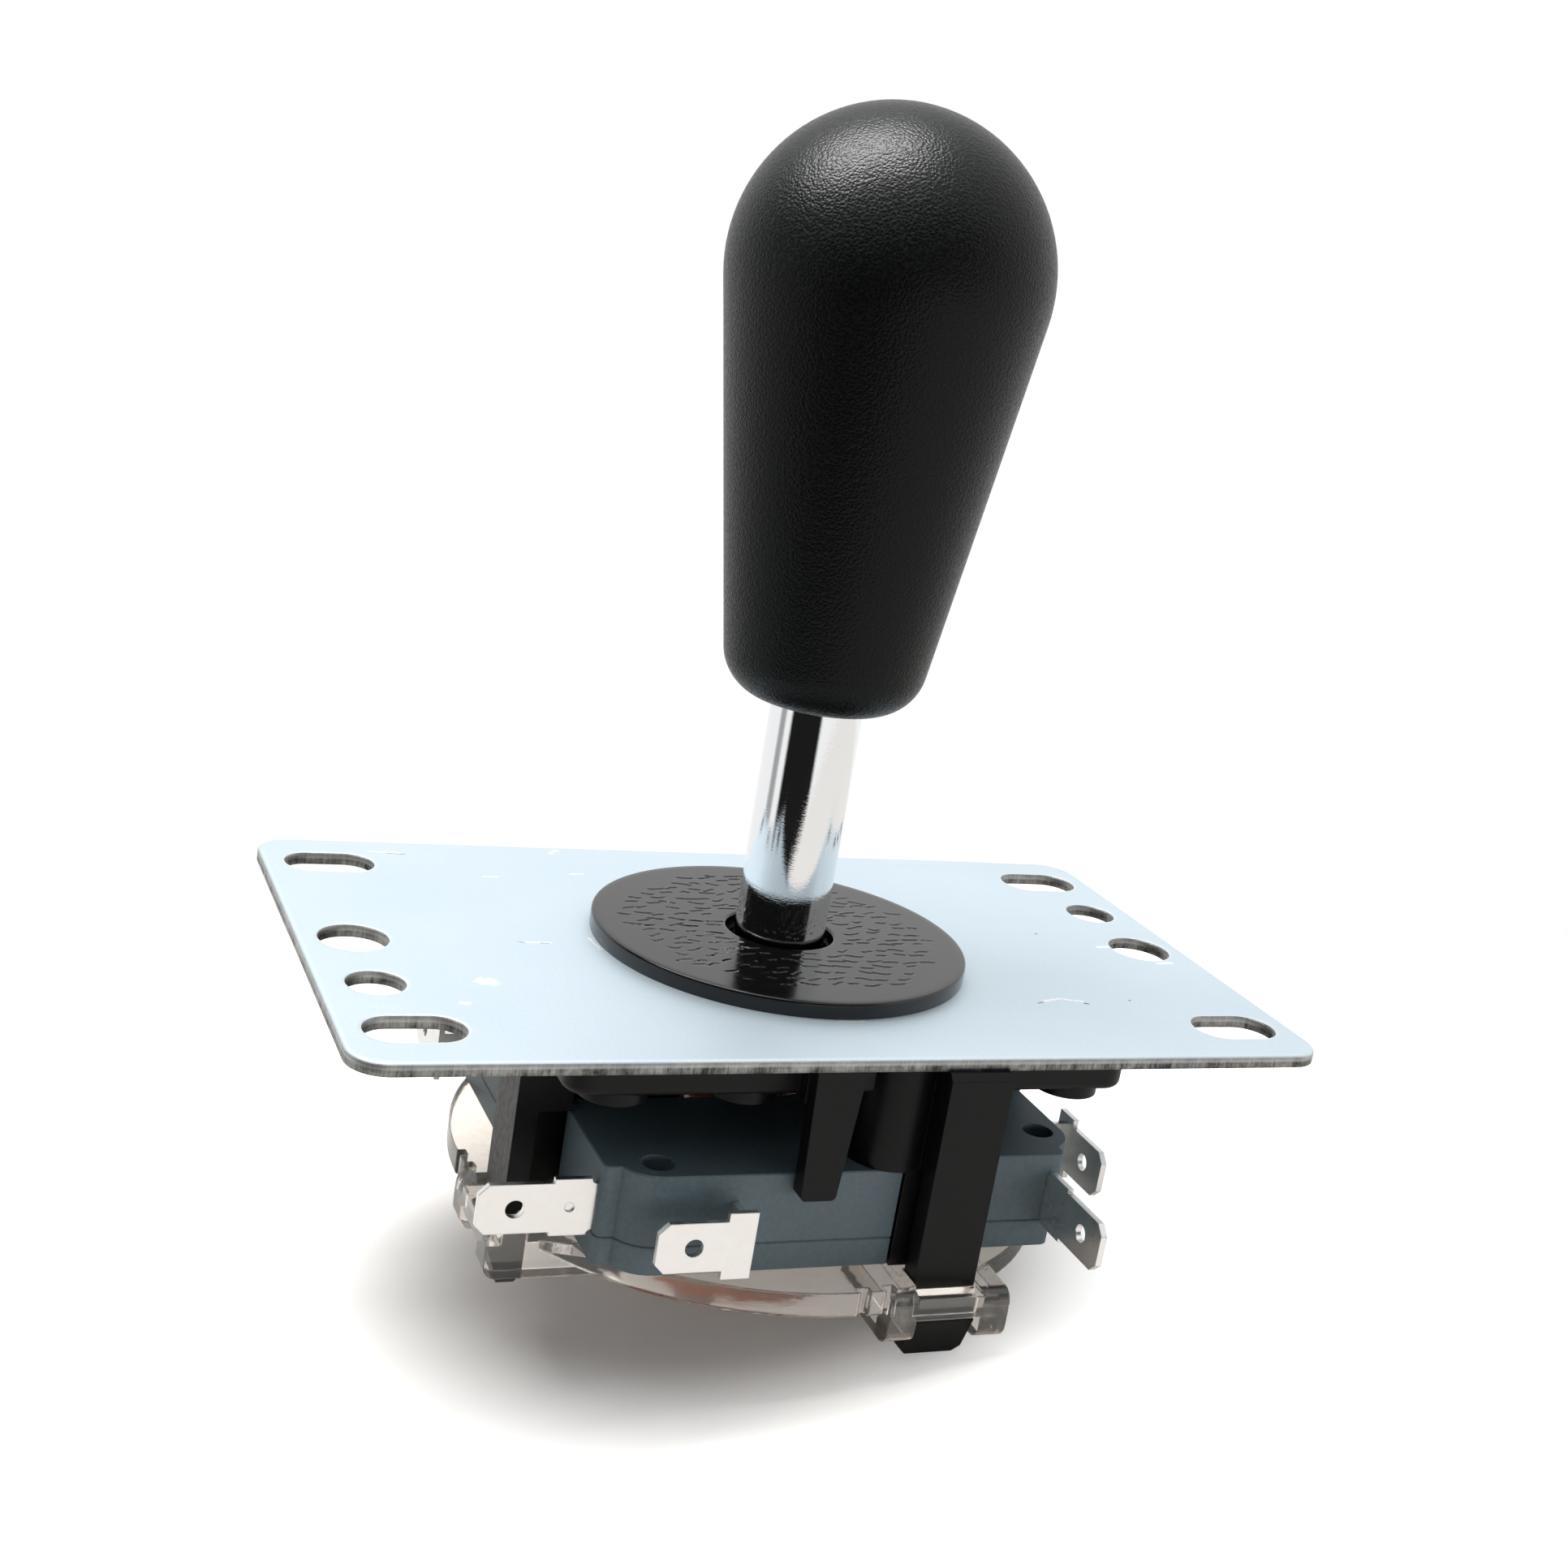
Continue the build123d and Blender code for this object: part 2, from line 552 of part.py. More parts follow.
def actuator():
    cone_low = PLUNGER_Z - ACTUATOR_CONE_BELOW
    collar = SPRING_RADIUS - SPRING_WIRE
    body = turned(
        (BORE_RADIUS, ACTUATOR_TOP + ACTUATOR_COLLAR_HEIGHT),
        (collar, ACTUATOR_TOP + ACTUATOR_COLLAR_HEIGHT),
        (collar, ACTUATOR_TOP),
        (cone_radius(ACTUATOR_TOP), ACTUATOR_TOP),
        (cone_radius(cone_low), cone_low),
        (ACTUATOR_NECK_RADIUS, cone_low),
        (ACTUATOR_NECK_RADIUS, FLANGE_TOP),
        (FLANGE_RADIUS - FLANGE_EDGE_ROUND, FLANGE_TOP),
        (FLANGE_RADIUS, FLANGE_TOP - FLANGE_EDGE_ROUND),
        (FLANGE_RADIUS, FLANGE_BOTTOM),
        (BORE_RADIUS, FLANGE_BOTTOM),
    )
    return body


def retaining_ring():
    inner = SHAFT_LOWER_RADIUS - GROOVE_DEPTH + FIT_CLEARANCE
    ring = rod(RING_RADIUS, RING_BOTTOM, FLANGE_BOTTOM) - rod(inner, RING_BOTTOM, FLANGE_BOTTOM)
    mouth = (-RING_GAP / 2, RING_GAP / 2)
    return ring - block(mouth, (-RING_RADIUS, 0), (RING_BOTTOM, FLANGE_BOTTOM))


def switch_outline():
    """The switch's plan: a body with one rounded corner and a block set in at its end."""
    body = area((CASE_LEFT, SWITCH_RIGHT), (-SWITCH_OUTER, -SWITCH_INNER))
    corner = body.vertices().sort_by_distance((CASE_LEFT, -SWITCH_OUTER, 0))[0]
    body = fillet(corner, CASE_CORNER)
    block_y = (-SWITCH_OUTER + END_BLOCK_SET_IN, -SWITCH_INNER - END_BLOCK_INNER_STEP)
    end = area((SWITCH_LEFT, CASE_LEFT + CASE_CORNER), block_y)
    ends = end.vertices().sort_by(Axis.X)[:2]
    return body + fillet(ends, END_BLOCK_ROUND)


def switch_cavity():
    """The hollow inside the switch, one wall in from its outline."""
    x_range = (SWITCH_LEFT + END_WALL, SWITCH_RIGHT - CASE_WALL)
    hollow = area(x_range, (-SWITCH_OUTER + CASE_WALL, -SWITCH_INNER - CASE_WALL))
    corner = hollow.vertices().sort_by_distance((x_range[0], -SWITCH_OUTER, 0))[0]
    return fillet(corner, CASE_CORNER - END_WALL)


def switch_shell(low, high, hollow_low, hollow_high):
    """Half of a switch's shell, with the tubes of its two mounting holes."""
    shell = slab(switch_outline(), low, high)
    ends = shell.faces().sort_by(Axis.Z)
    shell = chamfer(ends[0].edges() + ends[-1].edges(), SWITCH_EDGE_CHAMFER)
    shell -= slab(switch_cavity(), hollow_low, hollow_high)
    for x in (HOLE_LEFT_X, HOLE_RIGHT_X):
        shell += rod(HOLE_RADIUS + SWITCH_TUBE_WALL, low, high, x, HOLE_ROW_Y)
    for x in (HOLE_LEFT_X, HOLE_RIGHT_X):
        shell -= rod(HOLE_RADIUS, low, high, x, HOLE_ROW_Y)
    return shell


def switch_case():
    case = switch_shell(PARTING_Z, SWITCH_TOP, PARTING_Z, SWITCH_TOP - CASE_WALL)
    bore = PLUNGER_DIAMETER / 2 + PLUNGER_CLEARANCE
    case -= cross_rod(bore, SWITCH_INNER, SWITCH_INNER + CASE_WALL, 0, PLUNGER_Z)
    case -= open_neck(FIT_CLEARANCE)
    case -= common_neck(FIT_CLEARANCE)
    return case


def switch_cover():
    return switch_shell(SWITCH_BOTTOM, PARTING_Z, SWITCH_BOTTOM + CASE_WALL, PARTING_Z)


def switch_plunger():
    stem = cross_rod(PLUNGER_DIAMETER / 2, REST_TIP, FLANGE_FRONT, 0, PLUNGER_Z)
    tip_edge = stem.edges().filter_by(GeomType.CIRCLE).sort_by(Axis.Y)[-1]
    stem = fillet(tip_edge, PLUNGER_TIP_ROUND)
    return stem + cross_rod(PLUNGER_FLANGE_DIAMETER / 2, FLANGE_FRONT, FLANGE_BACK, 0, PLUNGER_Z)


def contact_blade():
    left = SWITCH_LEFT + END_WALL + TERMINAL_THICKNESS + CONTACT_GAP
    half = BLADE_WIDTH / 2
    return block((left, BLADE_OVERHANG), (-BLADE_BACK, -BLADE_FRONT), (PLUNGER_Z - half, PLUNGER_Z + half))


def tab_outline(base_x, step_x, tip_x, base_width):
    """A terminal tab seen from the front: a wide base, then a blade with a chamfered tip."""
    base = area((step_x, base_x), (TERMINAL_Z - base_width / 2, TERMINAL_Z + base_width / 2))
    half = TERMINAL_WIDTH / 2
    blade = area((tip_x, step_x), (TERMINAL_Z - half, TERMINAL_Z + half))
    tips = blade.vertices().sort_by(Axis.X)[:2]
    blade = chamfer(tips, TERMINAL_TIP_CHAMFER)
    hole = Pos(tip_x + TERMINAL_HOLE_FROM_TIP, TERMINAL_Z) * Circle(TERMINAL_HOLE_DIAMETER / 2)
    return base + blade - hole


def tab(outline, y):
    """A flat terminal outline as sheet, its middle at a given Y."""
    return extrude(Plane.XZ.offset(-y - TERMINAL_THICKNESS / 2) * outline, TERMINAL_THICKNESS)


def neck_heights(clearance):
    """The heights of a terminal's neck, where it passes through the case."""
    half = TERMINAL_NECK_WIDTH / 2 + clearance
    return (TERMINAL_Z - half, TERMINAL_Z + half)


def open_neck(clearance):
    """The straight terminal's neck through the end wall."""
    half = TERMINAL_THICKNESS / 2 + clearance
    x_range = (SWITCH_LEFT - FIT_CLEARANCE, SWITCH_LEFT + END_WALL)
    return block(x_range, (OPEN_Y - half, OPEN_Y + half), neck_heights(clearance))


def common_neck(clearance):
    """The bent terminal's neck, from its bend through the outer wall to the blade."""
    x_range = (COMMON_BEND_X - TERMINAL_THICKNESS - clearance, COMMON_BEND_X + clearance)
    return block(x_range, (COMMON_Y - TERMINAL_THICKNESS / 2, -BLADE_BACK), neck_heights(clearance))


def open_terminal():
    tip_x = SWITCH_LEFT - OPEN_REACH
    base_x = SWITCH_LEFT - FIT_CLEARANCE
    outline = tab_outline(base_x, base_x - OPEN_BASE_LENGTH, tip_x, OPEN_BASE_WIDTH)
    for side in (-1, 1):
        corner = (base_x, TERMINAL_Z + side * OPEN_BASE_WIDTH / 2)
        outline -= Pos(*corner) * Circle(OPEN_ROOT_NOTCH / 2)
    terminal = tab(outline, OPEN_Y)
    dimple_x = base_x - OPEN_DIMPLE_FROM_ROOT
    front = -OPEN_Y + TERMINAL_THICKNESS / 2
    terminal -= cross_rod(OPEN_DIMPLE_DIAMETER / 2, front - OPEN_DIMPLE_DEPTH, front, dimple_x, TERMINAL_Z)
    wall_x = SWITCH_LEFT + END_WALL
    leg_x = (wall_x, wall_x + TERMINAL_THICKNESS)
    leg_end = -BLADE_BACK - CONTACT_GAP
    heights = neck_heights(0)
    leg = block(leg_x, (OPEN_Y - TERMINAL_THICKNESS / 2, leg_end), heights)
    pad_x = (wall_x, wall_x + CONTACT_PAD_LENGTH)
    pad = block(pad_x, (leg_end - TERMINAL_THICKNESS, leg_end), heights)
    return terminal + open_neck(0) + leg + pad


def common_terminal():
    tip_x = COMMON_BEND_X - COMMON_BLADE_LENGTH
    step_x = COMMON_BEND_X - COMMON_BASE_LENGTH
    outline = tab_outline(COMMON_BEND_X, step_x, tip_x, COMMON_BASE_WIDTH)
    return tab(outline, COMMON_Y) + common_neck(0)


def gate_loop():
    """One loop of the gate: two ears on ribs under the disc, and the bar between them."""
    ear_y = (-LOOP_OUTER, -LOOP_OUTER + EAR_RUN)
    ear_z = (EAR_BOTTOM, SWITCH_BOTTOM - LOOP_BAR_DROP / 2)
    lefts = (LEG_LEFT - SNAP_CLEARANCE - EAR_THICKNESS, LEG_RIGHT + SNAP_CLEARANCE)
    loop = block(
        (LEG_LEFT - SNAP_CLEARANCE, LEG_RIGHT + SNAP_CLEARANCE),
        (-LOOP_OUTER, -LOOP_INNER),
        (LOOP_BAR_BOTTOM, LOOP_BAR_TOP),
    )
    for left in lefts:
        ear = block((left, left + EAR_THICKNESS), ear_y, ear_z)
        outer_edges = ear.edges().filter_by(Axis.X).group_by(Axis.Y)[0]
        loop += fillet(outer_edges, EAR_ROUND)
    return loop


def leg_window():
    """The hole in the disc that a leg passes through."""
    return block(
        (LEG_LEFT - SNAP_CLEARANCE, LEG_RIGHT + SNAP_CLEARANCE),
        (-LOOP_INNER, -LEG_INNER + SNAP_CLEARANCE),
        (EAR_BOTTOM, SWITCH_BOTTOM),
    )


def loop_outside():
    """The part of the disc that would reach past a loop's bar."""
    return block(
        (LEG_LEFT - SNAP_CLEARANCE, LEG_RIGHT + SNAP_CLEARANCE),
        (-GATE_RADIUS - CUT_MARGIN, -LOOP_INNER),
        (GATE_BOTTOM, SWITCH_BOTTOM),
    )


def rim_notch(angle):
    """A small upright notch in the disc's rim."""
    half = RIM_NOTCH_WIDTH / 2
    notch_y = (-GATE_RADIUS, -GATE_RADIUS + RIM_NOTCH_DEPTH)
    return Rot(0, 0, angle) * block((-half, half), notch_y, (GATE_BOTTOM, SWITCH_BOTTOM))


def restrictor_gate():
    gate = rod(GATE_RADIUS, GATE_BOTTOM, SWITCH_BOTTOM)
    gate = fillet(gate.faces().sort_by(Axis.Z)[0].edges(), GATE_EDGE_ROUND)
    frame_half = GATE_HALF + GATE_FRAME_WALL
    frame = RectangleRounded(2 * frame_half, 2 * frame_half, GATE_CORNER + GATE_FRAME_WALL)
    gate += slab(frame, GATE_BOTTOM - GATE_FRAME_DEPTH, GATE_BOTTOM)
    for window, outside in zip(quarter_turns(leg_window()), quarter_turns(loop_outside())):
        gate = gate - window - outside
    for loop in quarter_turns(gate_loop()):
        gate += loop
    for angle in RIM_NOTCH_ANGLES:
        for notch in quarter_turns(rim_notch(angle)):
            gate -= notch
    opening = RectangleRounded(2 * GATE_HALF, 2 * GATE_HALF, GATE_CORNER)
    return gate - slab(opening, GATE_BOTTOM - GATE_FRAME_DEPTH, SWITCH_BOTTOM)


SINGLE_PIECES = {
    "bat_handle": bat_handle,
    "handle_insert": handle_insert,
    "lever_shaft": lever_shaft,
    "dust_washer": dust_washer,
    "mounting_plate": mounting_plate,
    "plate_screws": plate_screws,
    "base_housing": base_housing,
    "pivot_ball": pivot_ball,
    "spring_washer": spring_washer,
    "centring_spring": centring_spring,
    "actuator": actuator,
    "retaining_ring": retaining_ring,
    "restrictor_gate": restrictor_gate,
}

STATION_PIECES = {
    "switch_case": switch_case,
    "switch_cover": switch_cover,
    "switch_plunger": switch_plunger,
    "contact_blade": contact_blade,
    "common_terminal": common_terminal,
    "open_terminal": open_terminal,
}

os.makedirs(OUTPUT, exist_ok=True)
for name, make in SINGLE_PIECES.items():
    export_step(make(), f"{OUTPUT}/{name}.step")
for name, make in STATION_PIECES.items():
    for station, piece in zip(STATIONS, quarter_turns(make())):
        export_step(piece, f"{OUTPUT}/{name}_{station}.step")
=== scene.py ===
# %% [markdown]
# # An arcade joystick lever, dressed for its portrait
# The lever is a bat-shaped grip on a chromed shaft. The shaft passes through a loose dust washer and a
# zinc-plated plate, into a black housing that carries four switches and a clear gate.
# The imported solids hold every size, place and joint. This lesson adds what they lack: the finish of each
# surface, the creases of the washer, the wear on the plate and shaft, and the light of a white studio.

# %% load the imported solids
import math

import bmesh
import bpy
import numpy as np
from mathutils import Matrix, Vector


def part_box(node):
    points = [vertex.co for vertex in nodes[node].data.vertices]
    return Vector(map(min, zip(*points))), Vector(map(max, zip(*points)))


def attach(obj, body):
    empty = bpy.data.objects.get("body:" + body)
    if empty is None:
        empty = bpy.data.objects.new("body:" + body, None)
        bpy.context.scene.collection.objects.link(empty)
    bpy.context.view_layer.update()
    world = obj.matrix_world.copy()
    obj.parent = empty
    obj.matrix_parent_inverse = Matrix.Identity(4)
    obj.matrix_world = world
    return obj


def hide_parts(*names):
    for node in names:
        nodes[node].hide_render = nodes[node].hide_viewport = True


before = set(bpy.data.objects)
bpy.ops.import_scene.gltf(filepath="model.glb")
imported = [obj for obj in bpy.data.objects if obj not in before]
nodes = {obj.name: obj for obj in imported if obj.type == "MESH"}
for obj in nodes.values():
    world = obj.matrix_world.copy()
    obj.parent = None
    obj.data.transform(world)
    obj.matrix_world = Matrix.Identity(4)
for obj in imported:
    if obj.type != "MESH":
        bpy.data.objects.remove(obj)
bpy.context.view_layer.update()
MM = 0.001

# %% [markdown]
# ## The camera
# The picture is taken from the front left, a little above the plate, with the unit leaning on its shaft's
# end, so the plate's line slopes in it. A camera could be aimed with a Track To constraint, but that can't
# roll. Here its turn is put together from three plain angles: roll first, then the downward tilt, then the
# heading, which is the order in which a tripod head is set, read backwards.

# %% camera
CAMERA_PLACE = Vector((-82.83, -180.89, 70.89)) * MM
CAMERA_HEADING = math.radians(24.05)
CAMERA_DOWN = math.radians(15.31)
CAMERA_ROLL = math.radians(9.43)
LENS_MM = 48.5
SENSOR_MM = 36.0

camera_data = bpy.data.cameras.new("studio camera")
camera_data.sensor_width = SENSOR_MM
camera_data.lens = LENS_MM
camera_data.clip_start = 5 * MM
camera = bpy.data.objects.new("studio camera", camera_data)
aim = (Matrix.Rotation(-CAMERA_HEADING, 4, "Z") @ Matrix.Rotation(math.pi / 2 - CAMERA_DOWN, 4, "X")
       @ Matrix.Rotation(CAMERA_ROLL, 4, "Z"))
camera.matrix_world = Matrix.Translation(CAMERA_PLACE) @ aim
bpy.context.scene.collection.objects.link(camera)
bpy.context.scene.camera = camera
bpy.context.scene.view_settings.view_transform = "Standard"
print("camera looks along", [round(v, 3) for v in aim.to_3x3() @ Vector((0, 0, -1))])

# %% [markdown]
# ## Colours
# A maker's swatch gives a colour as sRGB hex, and that is how colours are written here. Cycles works in
# linear light. The colours could be typed in as linear numbers, but nobody can picture those, so one
# function turns one into the other.

# %% sRGB to linear
def linear(hex_colour):
    """An sRGB hex colour as linear RGBA."""
    channels = [int(hex_colour[i:i + 2], 16) / 255 for i in (1, 3, 5)]
    return tuple(c / 12.92 if c <= 0.04045 else ((c + 0.055) / 1.055) ** 2.4 for c in channels) + (1.0,)


print("middle grey #808080 is", round(linear("#808080")[0], 3), "in linear light")

# %% [markdown]
# ## Nodes
# Every finish below is a tree of shader nodes. Each kind of node could have a helper of its own, but then a
# reader has to learn the helpers. One small function adds any node with its settings and links, so a
# material reads as a list of steps. Another starts a finish: a Principled shader, and the surface's place
# in millimetres, so that every pattern can be given its real size. The last links what varies over a
# surface.

# %% helpers for nodes
def add(tree, kind, inputs=None, **settings):
    """Adds a shader node. An input is a value, a socket, or a node whose first output in use is linked."""
    node = tree.nodes.new("ShaderNode" + kind)
    for name, value in settings.items():
        setattr(node, name, value)
    for name, value in (inputs or {}).items():
        if isinstance(value, bpy.types.Node):
            value = next(output for output in value.outputs if output.enabled)
        if isinstance(value, bpy.types.NodeSocket):
            tree.links.new(value, node.inputs[name])
        else:
            node.inputs[name].default_value = value
    return node


def begin_finish(name, **sockets):
    """A material whose Principled shader has its constant sockets set, and the surface's place in mm."""
    material = bpy.data.materials.new(name)
    material.use_nodes = True
    tree = material.node_tree
    tree.nodes.clear()
    shader = add(tree, "BsdfPrincipled", {key.replace("_", " "): value for key, value in sockets.items()})
    add(tree, "OutputMaterial", {"Surface": shader})
    place = add(tree, "VectorMath", {0: add(tree, "TexCoord").outputs["Object"], "Scale": 1 / MM},
                operation="SCALE")
    return material, tree, shader, place


def link_finish(tree, shader, colour, rough, normal):
    """Links the three things that vary over a surface: colour, roughness and normal."""
    for socket, node in (("Base Color", colour), ("Roughness", rough), ("Normal", normal)):
        tree.links.new(next(output for output in node.outputs if output.enabled), shader.inputs[socket])


print("patterns are measured in steps of", MM, "m")

# %% [markdown]
# ## The white sheet
# The unit rests on its shaft's end and two of its legs, so the white sheet slopes under it. The sheet could
# be set by eye, but then it would sink in or float. Here it is laid against the lowest points of the solids
# along its own normal, so it just touches them.

# %% floor sheet
FLOOR_RISE_X = 0.19
FLOOR_RISE_Y = -0.095
FLOOR_RADIUS = 140 * MM
FLOOR_SIDES = 96

floor_normal = Vector((-FLOOR_RISE_X, -FLOOR_RISE_Y, 1)).normalized()
lowest = min(floor_normal.dot(v.co) for n in ("lever_shaft", "base_housing", "restrictor_gate")
             for v in nodes[n].data.vertices)
shape = bmesh.new()
bmesh.ops.create_circle(shape, cap_ends=True, radius=FLOOR_RADIUS, segments=FLOOR_SIDES)
floor_mesh = bpy.data.meshes.new("floor_sheet")
shape.to_mesh(floor_mesh)
shape.free()
floor = bpy.data.objects.new("floor_sheet", floor_mesh)
floor.matrix_world = (Matrix.Translation(floor_normal * lowest)
                      @ Vector((0, 0, 1)).rotation_difference(floor_normal).to_matrix().to_4x4())
bpy.context.scene.collection.objects.link(floor)
print("floor touches the part at", round(lowest / MM, 2), "mm along its normal")

# %% [markdown]
# ## The sheet's paper
# The sheet has to keep the shadow and yet fade to plain white before its rim. More light would do that, but
# it would bleach the object too. So the paper has a lift of plain white that grows outwards, and only some
# rays see it. The camera sees all of it. Mirrors see a small share, so that black plastic stays black. Rays
# through the clear gate get at least a steady lift, so that the gate stays bright inside the shadow.

# %% paper
FLOOR_LIFT = 0.07
FADE_MIDDLE = Vector((-8, 6, 0))
FADE_FROM = 22
FADE_TO = 50
MIRROR_SHARE = 0.25
GLASS_LIFT = 0.3

# Matt white paper, a little warm: it keeps soft grey shadows.
paper, tree, shader, place = begin_finish("matt white paper", Roughness=0.9, IOR=1.45,
                                          Base_Color=linear("#f4efe9"), Emission_Color=(1, 1, 1, 1))
ray = add(tree, "LightPath")
clear = add(tree, "Math", {0: ray.outputs["Is Camera Ray"], 1: ray.outputs["Is Transmission Ray"]},
            operation="MAXIMUM")
glossy = add(tree, "Math", {0: ray.outputs["Is Glossy Ray"], 1: MIRROR_SHARE}, operation="MULTIPLY")
seen = add(tree, "Math", {0: clear, 1: glossy}, operation="MAXIMUM")
reach = add(tree, "VectorMath", {0: place, 1: FADE_MIDDLE}, operation="DISTANCE")
lift = add(tree, "MapRange", {"Value": reach, "From Min": FADE_FROM, "From Max": FADE_TO,
                              "To Min": FLOOR_LIFT, "To Max": 1.0}, interpolation_type="SMOOTHSTEP")
through = add(tree, "Math", {0: ray.outputs["Is Transmission Ray"], 1: GLASS_LIFT}, operation="MULTIPLY")
lift = add(tree, "Math", {0: lift, 1: through}, operation="MAXIMUM")
lift = add(tree, "Math", {0: seen, 1: lift}, operation="MULTIPLY")
tree.links.new(lift.outputs[0], shader.inputs["Emission Strength"])
floor_mesh.materials.append(paper)
print("the shadow fades between", FADE_FROM, "and", FADE_TO, "mm from its middle")

# %% [markdown]
# ## What the mirror sees
# Chrome shows nothing of its own, only what stands round it: a white tent, with the dark shape of the room
# behind the camera, which makes the black band down the shaft, and one narrow grey streak at its left.
# These could be black cards in the scene, but cards would shade the object too. A world can hold them as
# directions: how far a ray's level heading lies from a dark shape's middle says whether it runs into it.

# %% dark shapes of the tent
CAMERA_SIDE = math.atan2(CAMERA_PLACE.y, CAMERA_PLACE.x)
ROOM_TURN = math.radians(-20)
ROOM_HALF_LOW = math.radians(38)
ROOM_HALF_HIGH = math.radians(92)
ROOM_WIDENS = math.radians(8)
STREAK_TURN = math.radians(-84)
STREAK_HALF = math.radians(9)
EDGE_SOFT = 0.06

world = bpy.data.worlds.new("white tent")
world.use_nodes = True
bpy.context.scene.world = world
tree = world.node_tree
tree.nodes.clear()
way = add(tree, "TexCoord").outputs["Generated"]
level_way = add(tree, "VectorMath", {0: way, 1: (1, 1, 0)}, operation="MULTIPLY")
level_way = add(tree, "VectorMath", {0: level_way}, operation="NORMALIZE")
height = add(tree, "SeparateXYZ", {0: way}).outputs["Z"]
room_edge = add(tree, "MapRange", {"Value": height, "From Min": 0.0, "From Max": math.sin(ROOM_WIDENS),
                                   "To Min": math.cos(ROOM_HALF_LOW), "To Max": math.cos(ROOM_HALF_HIGH)})
dark = {}
for part, turn, edge, half in (("room", ROOM_TURN, room_edge, ROOM_HALF_LOW),
                               ("streak", STREAK_TURN, math.cos(STREAK_HALF), STREAK_HALF)):
    middle = Vector((math.cos(CAMERA_SIDE + turn), math.sin(CAMERA_SIDE + turn), 0))
    towards = add(tree, "VectorMath", {0: level_way, 1: middle}, operation="DOT_PRODUCT")
    inside = add(tree, "Math", {0: towards, 1: edge}, operation="SUBTRACT")
    soft = EDGE_SOFT * math.sin(half)
    dark[part] = add(tree, "MapRange", {"Value": inside, "From Min": -soft, "From Max": soft})
print("the dark room fills", round(math.degrees(2 * ROOM_HALF_LOW)), "degrees behind the camera")

# %% [markdown]
# ## What each kind of ray gets
# A studio's white tent is far brighter than the light that reaches the shade under the plate. One strength
# for all rays would be simpler, but a tent bright enough for the mirror would wash that shade out. So the
# camera gets plain white, mirror and glass rays get the tent with its dark shapes, and all other rays,
# which light the matt surfaces, get an even low level, with less from the room's side.

# %% light of the tent
AMBIENT = 0.31
ROOM_TOP = math.radians(46)
ROOM_SHADE = 0.5
ROOM_DARK = 0.012
STREAK_DARK = 0.6

below = add(tree, "MapRange", {"Value": height, "From Min": math.sin(ROOM_TOP) + EDGE_SOFT,
                               "From Max": math.sin(ROOM_TOP) - EDGE_SOFT})
room = add(tree, "Math", {0: dark["room"], 1: below}, operation="MULTIPLY")
tent = add(tree, "MapRange", {"Value": room, "To Min": 1.0, "To Max": ROOM_DARK})
greyed = add(tree, "MapRange", {"Value": dark["streak"], "To Min": 1.0, "To Max": 1 - STREAK_DARK})
tent = add(tree, "Math", {0: tent, 1: greyed}, operation="MULTIPLY")
even = add(tree, "MapRange", {"Value": room, "To Min": AMBIENT, "To Max": AMBIENT * (1 - ROOM_SHADE)})
ray = add(tree, "LightPath")
mirror = add(tree, "Math", {0: ray.outputs["Is Glossy Ray"], 1: ray.outputs["Is Transmission Ray"]},
             operation="MAXIMUM")
strength = add(tree, "MapRange", {"Value": mirror, "To Min": even, "To Max": tent})
strength = add(tree, "MapRange", {"Value": ray.outputs["Is Camera Ray"], "To Min": strength, "To Max": 1.0})
backdrop = add(tree, "Background", {"Color": (1, 1, 1, 1), "Strength": strength})
add(tree, "OutputWorld", {"Surface": backdrop})
print("matt surfaces get", AMBIENT, "of white, and from the room's side", AMBIENT * (1 - ROOM_SHADE))

# %% [markdown]
# ## The lamps
# One long panel hangs over the unit and makes the shade under the plate. A second stands at the front right
# and fills the fronts of the switches. Mirrors don't see it, since the tent already stands there. A third,
# over the grip's head, makes the bright patch of sparks on it. Black plastic gives back so little that a
# lamp strong enough for it would bleach the plate, so light linking lets this one light the grip alone.
# An area lamp's glow is its power over pi and its area, so the power is worked out from the glow wanted.

# %% lamps
LAMP_HEIGHT = 0.5
OVERHEAD_SHIFT = Vector((-0.07, 0.03, 0))
OVERHEAD_SIZE = (0.5, 0.16)
OVERHEAD_GLOW = 7.5
FILL_PLACE = Vector((0.25, -0.5, 0.03))
FILL_SIZE = (0.6, 0.12)
FILL_GLOW = 4.2
SPARK_SHIFT = Vector((-0.05, 0.03, 0))
SPARK_SIZE = (0.4, 0.12)
SPARK_GLOW = 50


def add_panel(name, place, size, glow, across):
    """An area lamp that faces the origin, with its long side turned along the direction across."""
    data = bpy.data.lights.new(name, "AREA")
    data.shape = "RECTANGLE"
    data.size, data.size_y = size
    data.energy = glow * math.pi * size[0] * size[1]
    lamp = bpy.data.objects.new(name, data)
    back = place.normalized()
    side = (across - back * across.dot(back)).normalized()
    turn = Matrix((side, back.cross(side), back)).transposed()
    lamp.matrix_world = Matrix.Translation(place) @ turn.to_4x4()
    bpy.context.scene.collection.objects.link(lamp)
    print(name, round(data.energy, 2), "W")
    return lamp


overhead = floor_normal * LAMP_HEIGHT
camera_right = aim.to_3x3() @ Vector((1, 0, 0))
add_panel("overhead panel", overhead + OVERHEAD_SHIFT, OVERHEAD_SIZE, OVERHEAD_GLOW, camera_right)
fill = add_panel("front fill", FILL_PLACE, FILL_SIZE, FILL_GLOW, Vector((1, 0, 0)))
fill.visible_glossy = False
spark = add_panel("grip spark", overhead + SPARK_SHIFT, SPARK_SIZE, SPARK_GLOW, camera_right)
grip_only = bpy.data.collections.new("lit by the grip spark")
grip_only.objects.link(nodes["bat_handle"])
spark.light_linking.receiver_collection = grip_only

